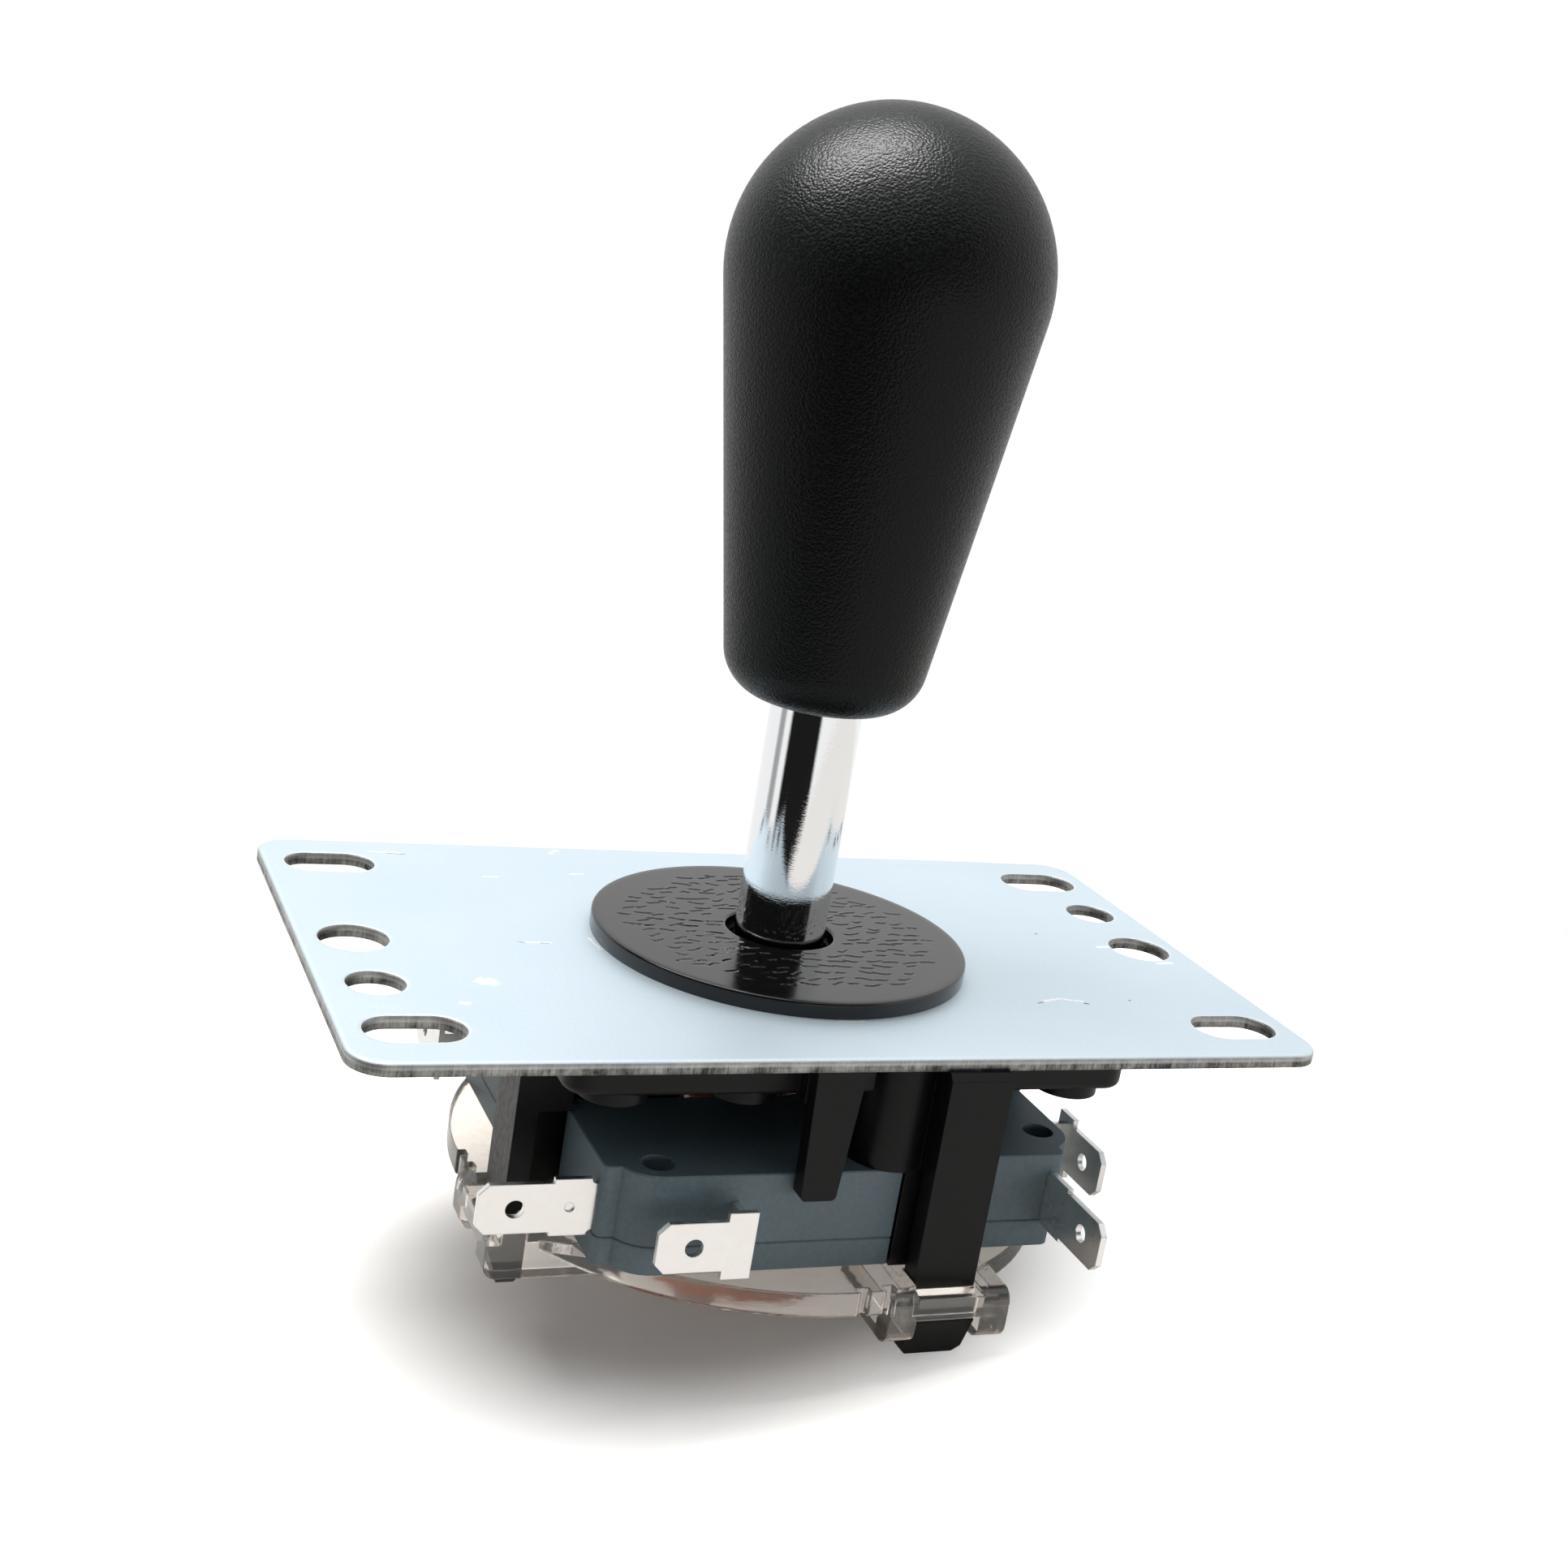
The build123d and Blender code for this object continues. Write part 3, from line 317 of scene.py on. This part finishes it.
# %% [markdown]
# ## Moulded plastics
# Moulded plastic keeps the print of its mould: a fine grain, a little change of tone and gloss, and edges
# that are never quite sharp. Flat colours would look like paint. So the plastics share one recipe of noise
# into tone, gloss and bump, each with its own colours and grain in millimetres, and a Bevel node rounds the
# shading of every sharp edge by a real edge radius.

# %% recipe for a grained finish
EDGE_ROUND_MM = 0.12
BEVEL_RAYS = 6
# Blender's noise seldom leaves this range.
NOISE_LOW = 0.3
NOISE_HIGH = 0.7


def grained_finish(name, deep, pale, grain_mm, depth_mm, gloss, edge_mm=EDGE_ROUND_MM, **sockets):
    """A finish whose grain shifts the tone from deep to pale, the roughness over gloss, and the bump."""
    material, tree, shader, place = begin_finish(name, **sockets)
    grain = add(tree, "TexNoise", {"Vector": place, "Scale": 1 / grain_mm, "Detail": 2.5, "Roughness": 0.5})
    spread = add(tree, "MapRange", {"Value": grain, "From Min": NOISE_LOW, "From Max": NOISE_HIGH})
    colour = add(tree, "Mix", {0: spread, 6: linear(deep), 7: linear(pale)}, data_type="RGBA")
    rough = add(tree, "MapRange", {"Value": spread, "To Min": gloss[0], "To Max": gloss[1]})
    edge = add(tree, "Bevel", {"Radius": edge_mm * MM}, samples=BEVEL_RAYS)
    bump = add(tree, "Bump", {"Height": spread, "Distance": depth_mm * MM, "Strength": 1.0, "Normal": edge})
    link_finish(tree, shader, colour, rough, bump)
    return material


print("edges are rounded by", EDGE_ROUND_MM, "mm unless a finish says otherwise")

# %% plastics
# The grains are drawn a few times as coarse as a real mould's, so that they show at this distance.
finishes = {
    # Black polyethylene sheet, pressed: dark and satin, with a clear reflection at a low angle.
    "washer_plastic": grained_finish(
        "black polyethylene, pressed", "#0a0a0a", "#101010",
        grain_mm=0.6, depth_mm=0.001, gloss=(0.13, 0.2), IOR=1.51),
    # Black nylon with a worn mould's satin: flat faces shine a little, corners catch a grey line.
    "housing_plastic": grained_finish(
        "black nylon, satin", "#0a0a0b", "#101011",
        grain_mm=0.7, depth_mm=0.002, gloss=(0.34, 0.46), IOR=1.53, Specular_IOR_Level=0.2),
    # Blue-grey PBT of a small switch: matt, filled with glass fibre that speckles it faintly.
    "switch_plastic": grained_finish(
        "blue-grey PBT, matt", "#576870", "#63747c",
        grain_mm=0.5, depth_mm=0.003, gloss=(0.45, 0.58), IOR=1.55),
    # Natural acetal of the pivot: milky white and slippery.
    "pivot_plastic": grained_finish(
        "natural acetal", "#d9d6cb", "#e4e1d8",
        grain_mm=1.2, depth_mm=0.003, gloss=(0.28, 0.36), IOR=1.48),
    # Orange acetal of the actuator: strong, even colour with a satin shine.
    "actuator_plastic": grained_finish(
        "orange acetal", "#f57d1c", "#ff9233",
        grain_mm=1.2, depth_mm=0.004, gloss=(0.3, 0.4), IOR=1.48),
    # Dark acetal of the plungers: dense and slippery.
    "plunger_plastic": grained_finish(
        "dark acetal", "#23262a", "#2d3136",
        grain_mm=0.6, depth_mm=0.003, gloss=(0.3, 0.4), IOR=1.48),
}
print("plastics:", ", ".join(finish.name for finish in finishes.values()))

# %% [markdown]
# ## The grip's eroded grain
# The grip's mould was spark-eroded, so its skin is a field of tiny overlapping craters. Smooth noise would
# give it the swells of orange peel. Voronoi cells give it craters, and each turns one small face to the
# lamp, so the highlight on the head breaks up into sparks.

# %% grip
# Real craters are about half as wide. They are drawn coarser, so that they show at this distance.
CRATER_MM = 0.26
CRATER_DEPTH_MM = 0.05
CRATER_RIM = 0.7
GRIP_GLOSS = (0.17, 0.42)
GRIP_EDGE_MM = 0.3

# Black ABS from a spark-eroded mould: near black, with a highlight made of sparks.
grip, tree, shader, place = begin_finish("black ABS, eroded grain", IOR=1.53, Specular_IOR_Level=0.12)
craters = add(tree, "TexVoronoi", {"Vector": place, "Scale": 1 / CRATER_MM, "Smoothness": 0.35},
              feature="SMOOTH_F1")
colour = add(tree, "Mix", {0: craters, 6: linear("#0a0c0b"), 7: linear("#171918")}, data_type="RGBA")
rough = add(tree, "MapRange", {"Value": craters, "From Max": CRATER_RIM,
                               "To Min": GRIP_GLOSS[0], "To Max": GRIP_GLOSS[1]})
edge = add(tree, "Bevel", {"Radius": GRIP_EDGE_MM * MM}, samples=BEVEL_RAYS)
bump = add(tree, "Bump", {"Height": craters, "Distance": CRATER_DEPTH_MM * MM, "Normal": edge})
link_finish(tree, shader, colour, rough, bump)
finishes["handle_plastic"] = grip
print("craters", CRATER_MM, "mm apart")

# %% [markdown]
# ## Plain metals
# Turned brass, plated screws, spring wire and tinned tabs could each have a tree of their own, but at their
# size in the picture one recipe does for all. They take the plastics' recipe with Metallic at 1, where the
# base colour is the colour of the reflection. The bump is only a few microns deep, as on the real parts.

# %% metals
metals = {
    # Turned brass: warm yellow, with the faint rings of the tool.
    "insert_brass": grained_finish(
        "turned brass", "#c9a24e", "#dcb866",
        grain_mm=0.5, depth_mm=0.003, gloss=(0.22, 0.34), Metallic=1.0),
    # Zinc-plated screw steel: pale grey with a blue cast.
    "screw_steel": grained_finish(
        "zinc-plated steel", "#b9c0c4", "#cfd6da",
        grain_mm=0.5, depth_mm=0.003, gloss=(0.25, 0.4), Metallic=1.0),
    # Drawn spring wire: darker steel with an oily shine.
    "spring_steel": grained_finish(
        "drawn spring steel", "#8f9092", "#b3b4b6",
        grain_mm=0.4, depth_mm=0.003, gloss=(0.2, 0.32), Metallic=1.0),
    # Rolled brass strip of the contacts: clean yellow, smooth from the rolls.
    "blade_brass": grained_finish(
        "rolled brass strip", "#cfa95a", "#e0bd70",
        grain_mm=0.6, depth_mm=0.002, gloss=(0.18, 0.3), Metallic=1.0),
    # Bright tin over brass: near white, with soft blotches where the bath flowed.
    "terminal_tin": grained_finish(
        "bright tin plate", "#f5f3f0", "#fcfbf9",
        grain_mm=1.6, depth_mm=0.006, gloss=(0.26, 0.38), Metallic=1.0),
}
finishes |= metals
print("metals:", ", ".join(finish.name for finish in metals.values()))

# %% [markdown]
# ## The clear gate
# The gate is clear polycarbonate, a little warm with age. Its looks come from bending the light at its many
# edges, so a glass-like shader with the right IOR does most of the work, with a trace of milk under it.
# On the real one a film of air lies between gate and switches. It throws back the light that runs inside
# the disc, so the orange collar shows at the rim. The solids touch there, which would let the light out
# into the switches. The gate could be made thinner, but a modifier that lowers it by a hair is enough.

# %% clear polycarbonate
GATE_EDGE_MM = 0.25
GATE_MILK_MM = 4
AIR_GAP_MM = 0.03

# Clear polycarbonate, moulded: bright edges, soft milky depth, a slight warm tint.
finishes["clear_plastic"] = grained_finish(
    "clear polycarbonate", "#f8efe6", "#fdf8f2",
    grain_mm=1.1, depth_mm=0.004, gloss=(0.03, 0.1), edge_mm=GATE_EDGE_MM, IOR=1.585,
    Transmission_Weight=0.96, Subsurface_Weight=1.0, Subsurface_Radius=(1.0, 0.7, 0.5),
    Subsurface_Scale=GATE_MILK_MM * MM)
gap = nodes["restrictor_gate"].modifiers.new("air gap", "DISPLACE")
gap.direction = "Z"
gap.mid_level = 0.0
gap.strength = -AIR_GAP_MM * MM
print("air under the switches:", AIR_GAP_MM, "mm")

# %% [markdown]
# ## Scrapes on the plate
# The plate is cold-rolled steel with bright zinc and a blue passivation, and handling has left short
# scrapes and nicks on it. They could be a painted image, but here each is a line on the plate in
# millimetres with a width, and a few vector nodes measure how far a point is from that line. Noise breaks
# its outline, as a real scrape skips over the grain.

# %% scrapes and nicks
SCRAPE_BREAK_MM = 0.5
# Where a mark is full and where it ends, in half widths, with the mean of the noise, 1, added.
SCRAPE_FULL = 1.4
SCRAPE_END = 2.2
# A scrape's start x, y, end x, y and half width, in mm on the plate's top, and its tone: 0 dark, 1 bright.
SCRAPES = [
    (-36.2, 24.4, -33.1, 24.1, 0.22, 1.0), (-34.4, 24.0, -32.6, 23.8, 0.07, 0.0),
    (-16.4, 25.6, -15.5, 26.6, 0.30, 1.0), (-16.1, 19.1, -14.6, 19.2, 0.16, 1.0),
    (-25.7, 17.6, -24.2, 17.7, 0.16, 1.0), (-26.9, -0.5, -23.6, -0.5, 0.16, 1.0),
    (-26.9, -0.4, -26.2, -0.6, 0.08, 0.0), (-24.6, -0.7, -23.9, -0.7, 0.07, 0.0),
    (-32.4, -10.2, -31.9, -10.3, 0.85, 1.0), (-35.4, -15.1, -35.2, -15.1, 0.40, 1.0),
    (23.0, -14.2, 25.0, -13.6, 0.20, 1.0), (25.0, -13.6, 27.2, -14.3, 0.20, 1.0),
    (21.9, -14.8, 22.7, -14.5, 0.08, 0.0), (27.2, -14.8, 27.6, -14.9, 0.12, 0.0),
    (37.5, 0.4, 39.1, 0.6, 0.30, 1.0), (42.3, -4.0, 44.1, -3.8, 0.34, 1.0),
    (32.8, -14.0, 32.9, -14.0, 0.12, 0.0), (31.8, 4.1, 31.9, 4.1, 0.12, 0.0),
    (-19.4, 0.8, -19.1, -2.0, 0.22, 1.0), (-1.2, -19.1, 1.2, -19.1, 0.18, 1.0),
]

zinc, tree, shader, place = begin_finish("bright zinc, blue passivated", Metallic=1.0)
on_top = add(tree, "VectorMath", {0: place, 1: (1, 1, 0)}, operation="MULTIPLY")
ragged = add(tree, "TexNoise", {"Vector": on_top, "Scale": 1 / SCRAPE_BREAK_MM, "Detail": 2.0})
scraped = {0.0: 0.0, 1.0: 0.0}
for x0, y0, x1, y1, half_width, tone in SCRAPES:
    run = Vector((x1 - x0, y1 - y0, 0))
    from_start = add(tree, "VectorMath", {0: on_top, 1: (x0, y0, 0)}, operation="SUBTRACT")
    along = add(tree, "VectorMath", {0: from_start, 1: run / run.length_squared}, operation="DOT_PRODUCT")
    held = add(tree, "Math", {0: along, 1: 0.0}, operation="ADD", use_clamp=True)
    nearest = add(tree, "VectorMath", {0: run, "Scale": held}, operation="SCALE")
    off = add(tree, "VectorMath", {0: from_start, 1: nearest}, operation="DISTANCE")
    worn_off = add(tree, "Math", {0: ragged, 1: 2 * half_width, 2: off}, operation="MULTIPLY_ADD")
    mark = add(tree, "MapRange", {"Value": worn_off, "From Min": SCRAPE_END * half_width,
                                  "From Max": SCRAPE_FULL * half_width})
    scraped[tone] = add(tree, "Math", {0: mark, 1: scraped[tone]}, operation="MAXIMUM")
print("plate has", len(SCRAPES), "scrapes and nicks")

# %% [markdown]
# ## The plate's sheared edge
# A press cuts a plate in two ways at once. The upper part of the edge is rubbed bright by the tool, and the
# lower part is torn and dark. Fine drag lines stand on end in both, with blotches over them, and the walls
# of the holes are the same. The edge could be a second material, but the solid is one piece with one
# finish, so the surface's own normal tells edge from face, and its height tells bright from torn.

# %% sheared edge
DRAG_MM = 0.22
DRAG_RUN_MM = 2.4
EDGE_BLOTCH_MM = 1.6
BLOTCH_SHARE = 0.6
TORN_DARK = 0.36
TORN_PALE = 0.64
BURNISH_SHARE = 0.5
BURNISH_SOFT_MM = 0.08
# The upright share of a normal, below which a surface begins to count as edge, and counts wholly.
EDGE_BEGINS = 0.7
EDGE_WHOLE = 0.3

true_normal = add(tree, "NewGeometry").outputs["True Normal"]
facing = add(tree, "SeparateXYZ", {0: true_normal}).outputs["Z"]
side = add(tree, "MapRange", {"Value": add(tree, "Math", {0: facing}, operation="ABSOLUTE"),
                              "From Min": EDGE_BEGINS, "From Max": EDGE_WHOLE})
drag_place = add(tree, "VectorMath", {0: place, 1: (1 / DRAG_MM, 1 / DRAG_MM, 1 / DRAG_RUN_MM)},
                 operation="MULTIPLY")
drag = add(tree, "TexNoise", {"Vector": drag_place, "Scale": 1.0, "Detail": 3.0, "Roughness": 0.6})
blotch = add(tree, "TexNoise", {"Vector": place, "Scale": 1 / EDGE_BLOTCH_MM, "Detail": 3.0,
                                "Roughness": 0.6})
tear = add(tree, "Mix", {0: BLOTCH_SHARE, 2: drag, 3: blotch})
torn = add(tree, "MapRange", {"Value": tear, "From Min": TORN_DARK, "From Max": TORN_PALE})
low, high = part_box("mounting_plate")
burnish_end = (high.z - BURNISH_SHARE * (high.z - low.z)) / MM
burnish = add(tree, "MapRange", {"Value": add(tree, "SeparateXYZ", {0: place}).outputs["Z"],
                                 "From Min": burnish_end - BURNISH_SOFT_MM,
                                 "From Max": burnish_end + BURNISH_SOFT_MM})
torn_tone = add(tree, "Mix", {0: torn, 6: linear("#3f403e"), 7: linear("#b4b5b2")}, data_type="RGBA")
bright_tone = add(tree, "Mix", {0: torn, 6: linear("#a3a4a2"), 7: linear("#cfd0cd")}, data_type="RGBA")
sheared = add(tree, "Mix", {0: burnish, 6: torn_tone, 7: bright_tone}, data_type="RGBA")
print("edge is bright down to", round(high.z / MM - burnish_end, 2), "mm below the top")

# %% [markdown]
# ## The plate's blue-white skin
# The passivated zinc is an even blue-white with faint clouds and a fine speckle. Where the press rolled the
# rim of an edge or a hole over, the rounded rim catches the light, and that is painted on as a near-white
# highlight. The rims could be a mask painted by hand, but the Bevel node finds them: close to an edge its
# rounded normal leaves the face's own, and the angle between the two is the mask. Scrapes and sheared edge
# go over the skin, and grain and tears give it its gloss and its bump.

# %% zinc plate
# The grain is drawn a few times as coarse as zinc's own, so that it shows at this distance.
PLATE_GRAIN_MM = 0.35
GRAIN_SHARE = 0.06
SPECKLE_MOST = 0.35
CLOUD_MM = 14.0
ROLLED_RIM_MM = 0.65
PLATE_RELIEF_MM = 0.02
PLATE_GLOSS = (0.56, 0.66)
SHEARED_GLOSS = 0.5
# The cosine between rounded and flat normal, below which the painted highlight on a rim begins to show, and
# shows wholly.
RIM_BEGINS = 0.99
RIM_WHOLE = 0.8

# Bright zinc, blue passivated: pale, cool and satin, with white scrapes and a painted highlight on its
# rims.
grain = add(tree, "TexNoise", {"Vector": place, "Scale": 1 / PLATE_GRAIN_MM, "Detail": 4.0,
                               "Roughness": 0.7})
cloud = add(tree, "TexNoise", {"Vector": place, "Scale": 1 / CLOUD_MM, "Detail": 2.0})
speckle = add(tree, "MapRange", {"Value": grain, "From Min": NOISE_LOW, "From Max": NOISE_HIGH,
                                 "To Min": 0.0, "To Max": SPECKLE_MOST})
rolled = add(tree, "Bevel", {"Radius": ROLLED_RIM_MM * MM}, samples=BEVEL_RAYS)
level = add(tree, "VectorMath", {0: rolled, 1: true_normal}, operation="DOT_PRODUCT")
# Painted highlight: near an edge the rim is coloured near white, for the light its rounded edge catches.
rim_painted_highlight = add(tree, "MapRange", {"Value": level, "From Min": RIM_BEGINS, "From Max": RIM_WHOLE})
skin = add(tree, "Mix", {0: cloud, 6: linear("#d9e6ee"), 7: linear("#e2edf4")}, data_type="RGBA")
# The near white over the rims is a painted highlight; the white and dark of the scrapes are wear.
for mask, over_skin in ((speckle, linear("#cfdfe8")), (rim_painted_highlight, linear("#fbfcfd")),
                        (scraped[1.0], linear("#fbfcfd")), (scraped[0.0], linear("#4a4c4c")),
                        (side, sheared)):
    skin = add(tree, "Mix", {0: mask, 6: skin, 7: over_skin}, data_type="RGBA")
gloss = add(tree, "MapRange", {"Value": grain, "From Min": NOISE_LOW, "From Max": NOISE_HIGH,
                               "To Min": PLATE_GLOSS[0], "To Max": PLATE_GLOSS[1]})
gloss = add(tree, "MapRange", {"Value": side, "To Min": gloss, "To Max": SHEARED_GLOSS})
relief = add(tree, "Math", {0: side, 1: torn}, operation="MULTIPLY")
relief = add(tree, "Math", {0: grain, 1: GRAIN_SHARE, 2: relief}, operation="MULTIPLY_ADD")
bump = add(tree, "Bump", {"Height": relief, "Distance": PLATE_RELIEF_MM * MM, "Normal": rolled})
link_finish(tree, shader, skin, gloss, bump)
finishes["plate_zinc"] = zinc
print("rims are rolled over by", ROLLED_RIM_MM, "mm")

# %% [markdown]
# ## The chromed shaft
# The shaft was turned, then chromed. The plating is a mirror, but the fine rings of the turning show
# through it, so the edge between two reflections is ragged. An anisotropic shader would only blur that
# edge. Here the rings are a bump, of noise that changes fast along the shaft and slowly round it. Fine pits
# show as dark specks in the white reflection, in a few patches only.

# %% chrome
# Rings and pits are drawn a few times as coarse as real ones, so that they show at this distance.
RING_MM = 0.16
RING_RUN_MM = 0.5
RING_DEPTH_MM = 0.004
CHROME_GLOSS = (0.02, 0.08)
PIT_MM = 0.5
PIT_RIM = 0.1
PIT_CORE = 0.05
PIT_PATCH_MM = 2.2
PATCH_BEGINS = 0.6
PATCH_WHOLE = 0.66

# Hard chrome on turned steel: a mirror with faint rings and dark specks.
chrome, tree, shader, place = begin_finish("hard chrome on turned steel", Metallic=1.0)
ring_place = add(tree, "VectorMath", {0: place, 1: (1 / RING_RUN_MM, 1 / RING_RUN_MM, 1 / RING_MM)},
                 operation="MULTIPLY")
rings = add(tree, "TexNoise", {"Vector": ring_place, "Scale": 1.0, "Detail": 3.0, "Roughness": 0.6})
pits = add(tree, "TexVoronoi", {"Vector": place, "Scale": 1 / PIT_MM})
pitted = add(tree, "MapRange", {"Value": pits, "From Min": PIT_RIM, "From Max": PIT_CORE})
patch = add(tree, "TexNoise", {"Vector": place, "Scale": 1 / PIT_PATCH_MM, "Detail": 1.0})
patch = add(tree, "MapRange", {"Value": patch, "From Min": PATCH_BEGINS, "From Max": PATCH_WHOLE})
pitted = add(tree, "Math", {0: pitted, 1: patch}, operation="MULTIPLY")
colour = add(tree, "Mix", {0: pitted, 6: linear("#edeeef"), 7: linear("#3a3a3a")}, data_type="RGBA")
gloss = add(tree, "MapRange", {"Value": rings, "To Min": CHROME_GLOSS[0], "To Max": CHROME_GLOSS[1]})
edge = add(tree, "Bevel", {"Radius": EDGE_ROUND_MM * MM}, samples=BEVEL_RAYS)
bump = add(tree, "Bump", {"Height": rings, "Distance": RING_DEPTH_MM * MM, "Normal": edge})
link_finish(tree, shader, colour, gloss, bump)
finishes["shaft_chrome"] = chrome
print("rings", RING_MM, "mm apart")

# %% [markdown]
# ## Dressing the solids
# Every solid comes with a plain material that carries the name of its slot. The solids could be dressed one
# by one, but the finishes are kept under the same names, so one loop does it and none can be forgotten: a
# slot without a finish stops the script.

# %% dress the solids
for solid in nodes.values():
    slot = solid.material_slots[0]
    slot.material = finishes[slot.material.name]
print("dressed", len(nodes), "solids with", len(finishes), "finishes")

# %% [markdown]
# ## The dust washer's creases
# The washer is cut from sheet whose top is pressed with short wavy creases, all running one way, and a
# smooth band is left at its rim. Bump alone would go flat at this low viewing angle, so the creases are
# real: a fine ring grid whose top is lowered along each crease, with a small lip beside it. The washer
# keeps its solid's radii and height.

# %% ring grid of the washer's top
RIM_BAND = 2.6 * MM
RIM_ROUND = 0.25 * MM
RING_STEP = 0.135 * MM
WASHER_SIDES = 640

low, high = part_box("dust_washer")
outer = (high.x - low.x) / 2
middle = Vector(((high.x + low.x) / 2, (high.y + low.y) / 2, 0))
hole = min(math.hypot(v.co.x - middle.x, v.co.y - middle.y) for v in nodes["dust_washer"].data.vertices)
rings_of_top = np.arange(hole + RIM_ROUND, outer - RIM_BAND / 2, RING_STEP)
turns = np.linspace(0, 2 * math.pi, WASHER_SIDES, endpoint=False)
grid_x = rings_of_top[:, None] * np.cos(turns)[None, :]
grid_y = rings_of_top[:, None] * np.sin(turns)[None, :]
print("washer's top has", grid_x.size, "points outside a hole of", round(hole / MM, 2), "mm radius")

# %% [markdown]
# ## Pressing the creases
# On the real washer the creases stand in loose staggered rows. They could be drawn one by one, but there
# are hundreds. Here each is a short line with its own lean and sway: a point near it is sunk by a bell
# curve across the line, faded out at both ends, and what is pushed aside stands up as a lip on one side.
# The draws come from one seeded generator, so every run presses the same washer.

# %% creases
CREASE_PITCH_X = 2.2 * MM
CREASE_PITCH_Y = 1.5 * MM
CREASE_LENGTH = (1.2 * MM, 2.3 * MM)
CREASE_HALF_WIDTH = 0.09 * MM
CREASE_DEPTH = 0.1 * MM
LIP_HEIGHT = 0.035 * MM
# Only points near a crease are worked on, within some half lengths along it and a reach across it.
NEAR_HALVES = 2.2
CREASE_REACH = 1.2 * MM
STRAY = 0.3
LEAN = 0.3
SWAY_MM = 0.22
SWAY_RADIANS = 2.4
END_FADE = 0.25
SEED = 7

draw = np.random.default_rng(SEED)
sunk = np.zeros_like(grid_x)
raised = np.zeros_like(grid_x)
crease_count = 0
for row in range(int(2 * outer / CREASE_PITCH_Y) + 1):
    for column in range(int(2 * outer / CREASE_PITCH_X) + 1):
        stagger = 0.5 * (row % 2)
        x = -outer + (column + stagger) * CREASE_PITCH_X + draw.uniform(-STRAY, STRAY) * CREASE_PITCH_X
        y = -outer + row * CREASE_PITCH_Y + draw.uniform(-STRAY, STRAY) * CREASE_PITCH_Y
        half = draw.uniform(*CREASE_LENGTH) / 2
        lean = draw.uniform(-LEAN, LEAN)
        bend = draw.uniform(-SWAY_MM, SWAY_MM) * MM
        sway = draw.uniform(0, 2 * math.pi)
        if not hole + half < math.hypot(x, y) < outer - RIM_BAND - half * 0.5:
            continue
        crease_count += 1
        near = np.nonzero((abs(grid_x - x) < NEAR_HALVES * half) & (abs(grid_y - y) < CREASE_REACH))
        along = grid_x[near] - x
        across = grid_y[near] - y - lean * along - bend * np.sin(along / half * SWAY_RADIANS + sway)
        fade = np.clip((half - abs(along)) / (END_FADE * half), 0, 1)
        sunk[near] = np.maximum(sunk[near], fade * np.exp(-(across / CREASE_HALF_WIDTH) ** 2))
        lip = np.exp(-((across - 2 * CREASE_HALF_WIDTH) / CREASE_HALF_WIDTH) ** 2)
        raised[near] = np.maximum(raised[near], fade * lip)
top = high.z - LIP_HEIGHT
relief = top - CREASE_DEPTH * sunk + LIP_HEIGHT * raised * (1 - sunk)
print("pressed", crease_count, "creases")

# %% [markdown]
# ## Closing the washer
# The creased top is only one stretch of the washer's section. It could stay an open skin, but then the rim
# would be a paper edge. A few more rings lead up the hole's wall and over its rounded lip, and down over
# the rim, and the last ring joins the first underneath. Quads between neighbouring rings close the skin.

# %% section of the washer
ROUND_STEPS = 4

quarter = [i * math.pi / 2 / ROUND_STEPS for i in range(1, ROUND_STEPS)]
inner = [(hole, low.z), (hole, top - RIM_ROUND)]
inner += [(hole + RIM_ROUND * (1 - math.cos(a)), top - RIM_ROUND * (1 - math.sin(a))) for a in quarter]
rim = [(outer - RIM_BAND / 3, top)]
rim += [(outer - RIM_ROUND * (1 - math.sin(a)), top - RIM_ROUND * (1 - math.cos(a))) for a in [0] + quarter]
rim += [(outer, top - RIM_ROUND), (outer, low.z)]
radii = [r for r, z in inner] + list(rings_of_top) + [r for r, z in rim]
heights = [np.full(WASHER_SIDES, z) for r, z in inner] + list(relief)
heights += [np.full(WASHER_SIDES, z) for r, z in rim]
print("washer's section has", len(radii), "rings")

# %% creased washer
SHARP_ANGLE = math.radians(50)

points = [(middle.x + r * math.cos(t), middle.y + r * math.sin(t), level[i])
          for r, level in zip(radii, heights) for i, t in enumerate(turns)]
faces = []
for j in range(len(radii)):
    this_ring = j * WASHER_SIDES
    next_ring = (j + 1) % len(radii) * WASHER_SIDES
    for i in range(WASHER_SIDES):
        after = (i + 1) % WASHER_SIDES
        faces.append((this_ring + i, next_ring + i, next_ring + after, this_ring + after))
washer_mesh = bpy.data.meshes.new("creased_washer")
washer_mesh.from_pydata(points, [], faces)
washer_mesh.update()
washer_mesh.shade_smooth()
washer_mesh.set_sharp_from_angle(angle=SHARP_ANGLE)
washer_mesh.materials.append(finishes["washer_plastic"])
washer = bpy.data.objects.new("creased_washer", washer_mesh)
bpy.context.scene.collection.objects.link(washer)
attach(washer, "base")
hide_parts("dust_washer")
print("washer:", 2 * len(faces), "triangles")
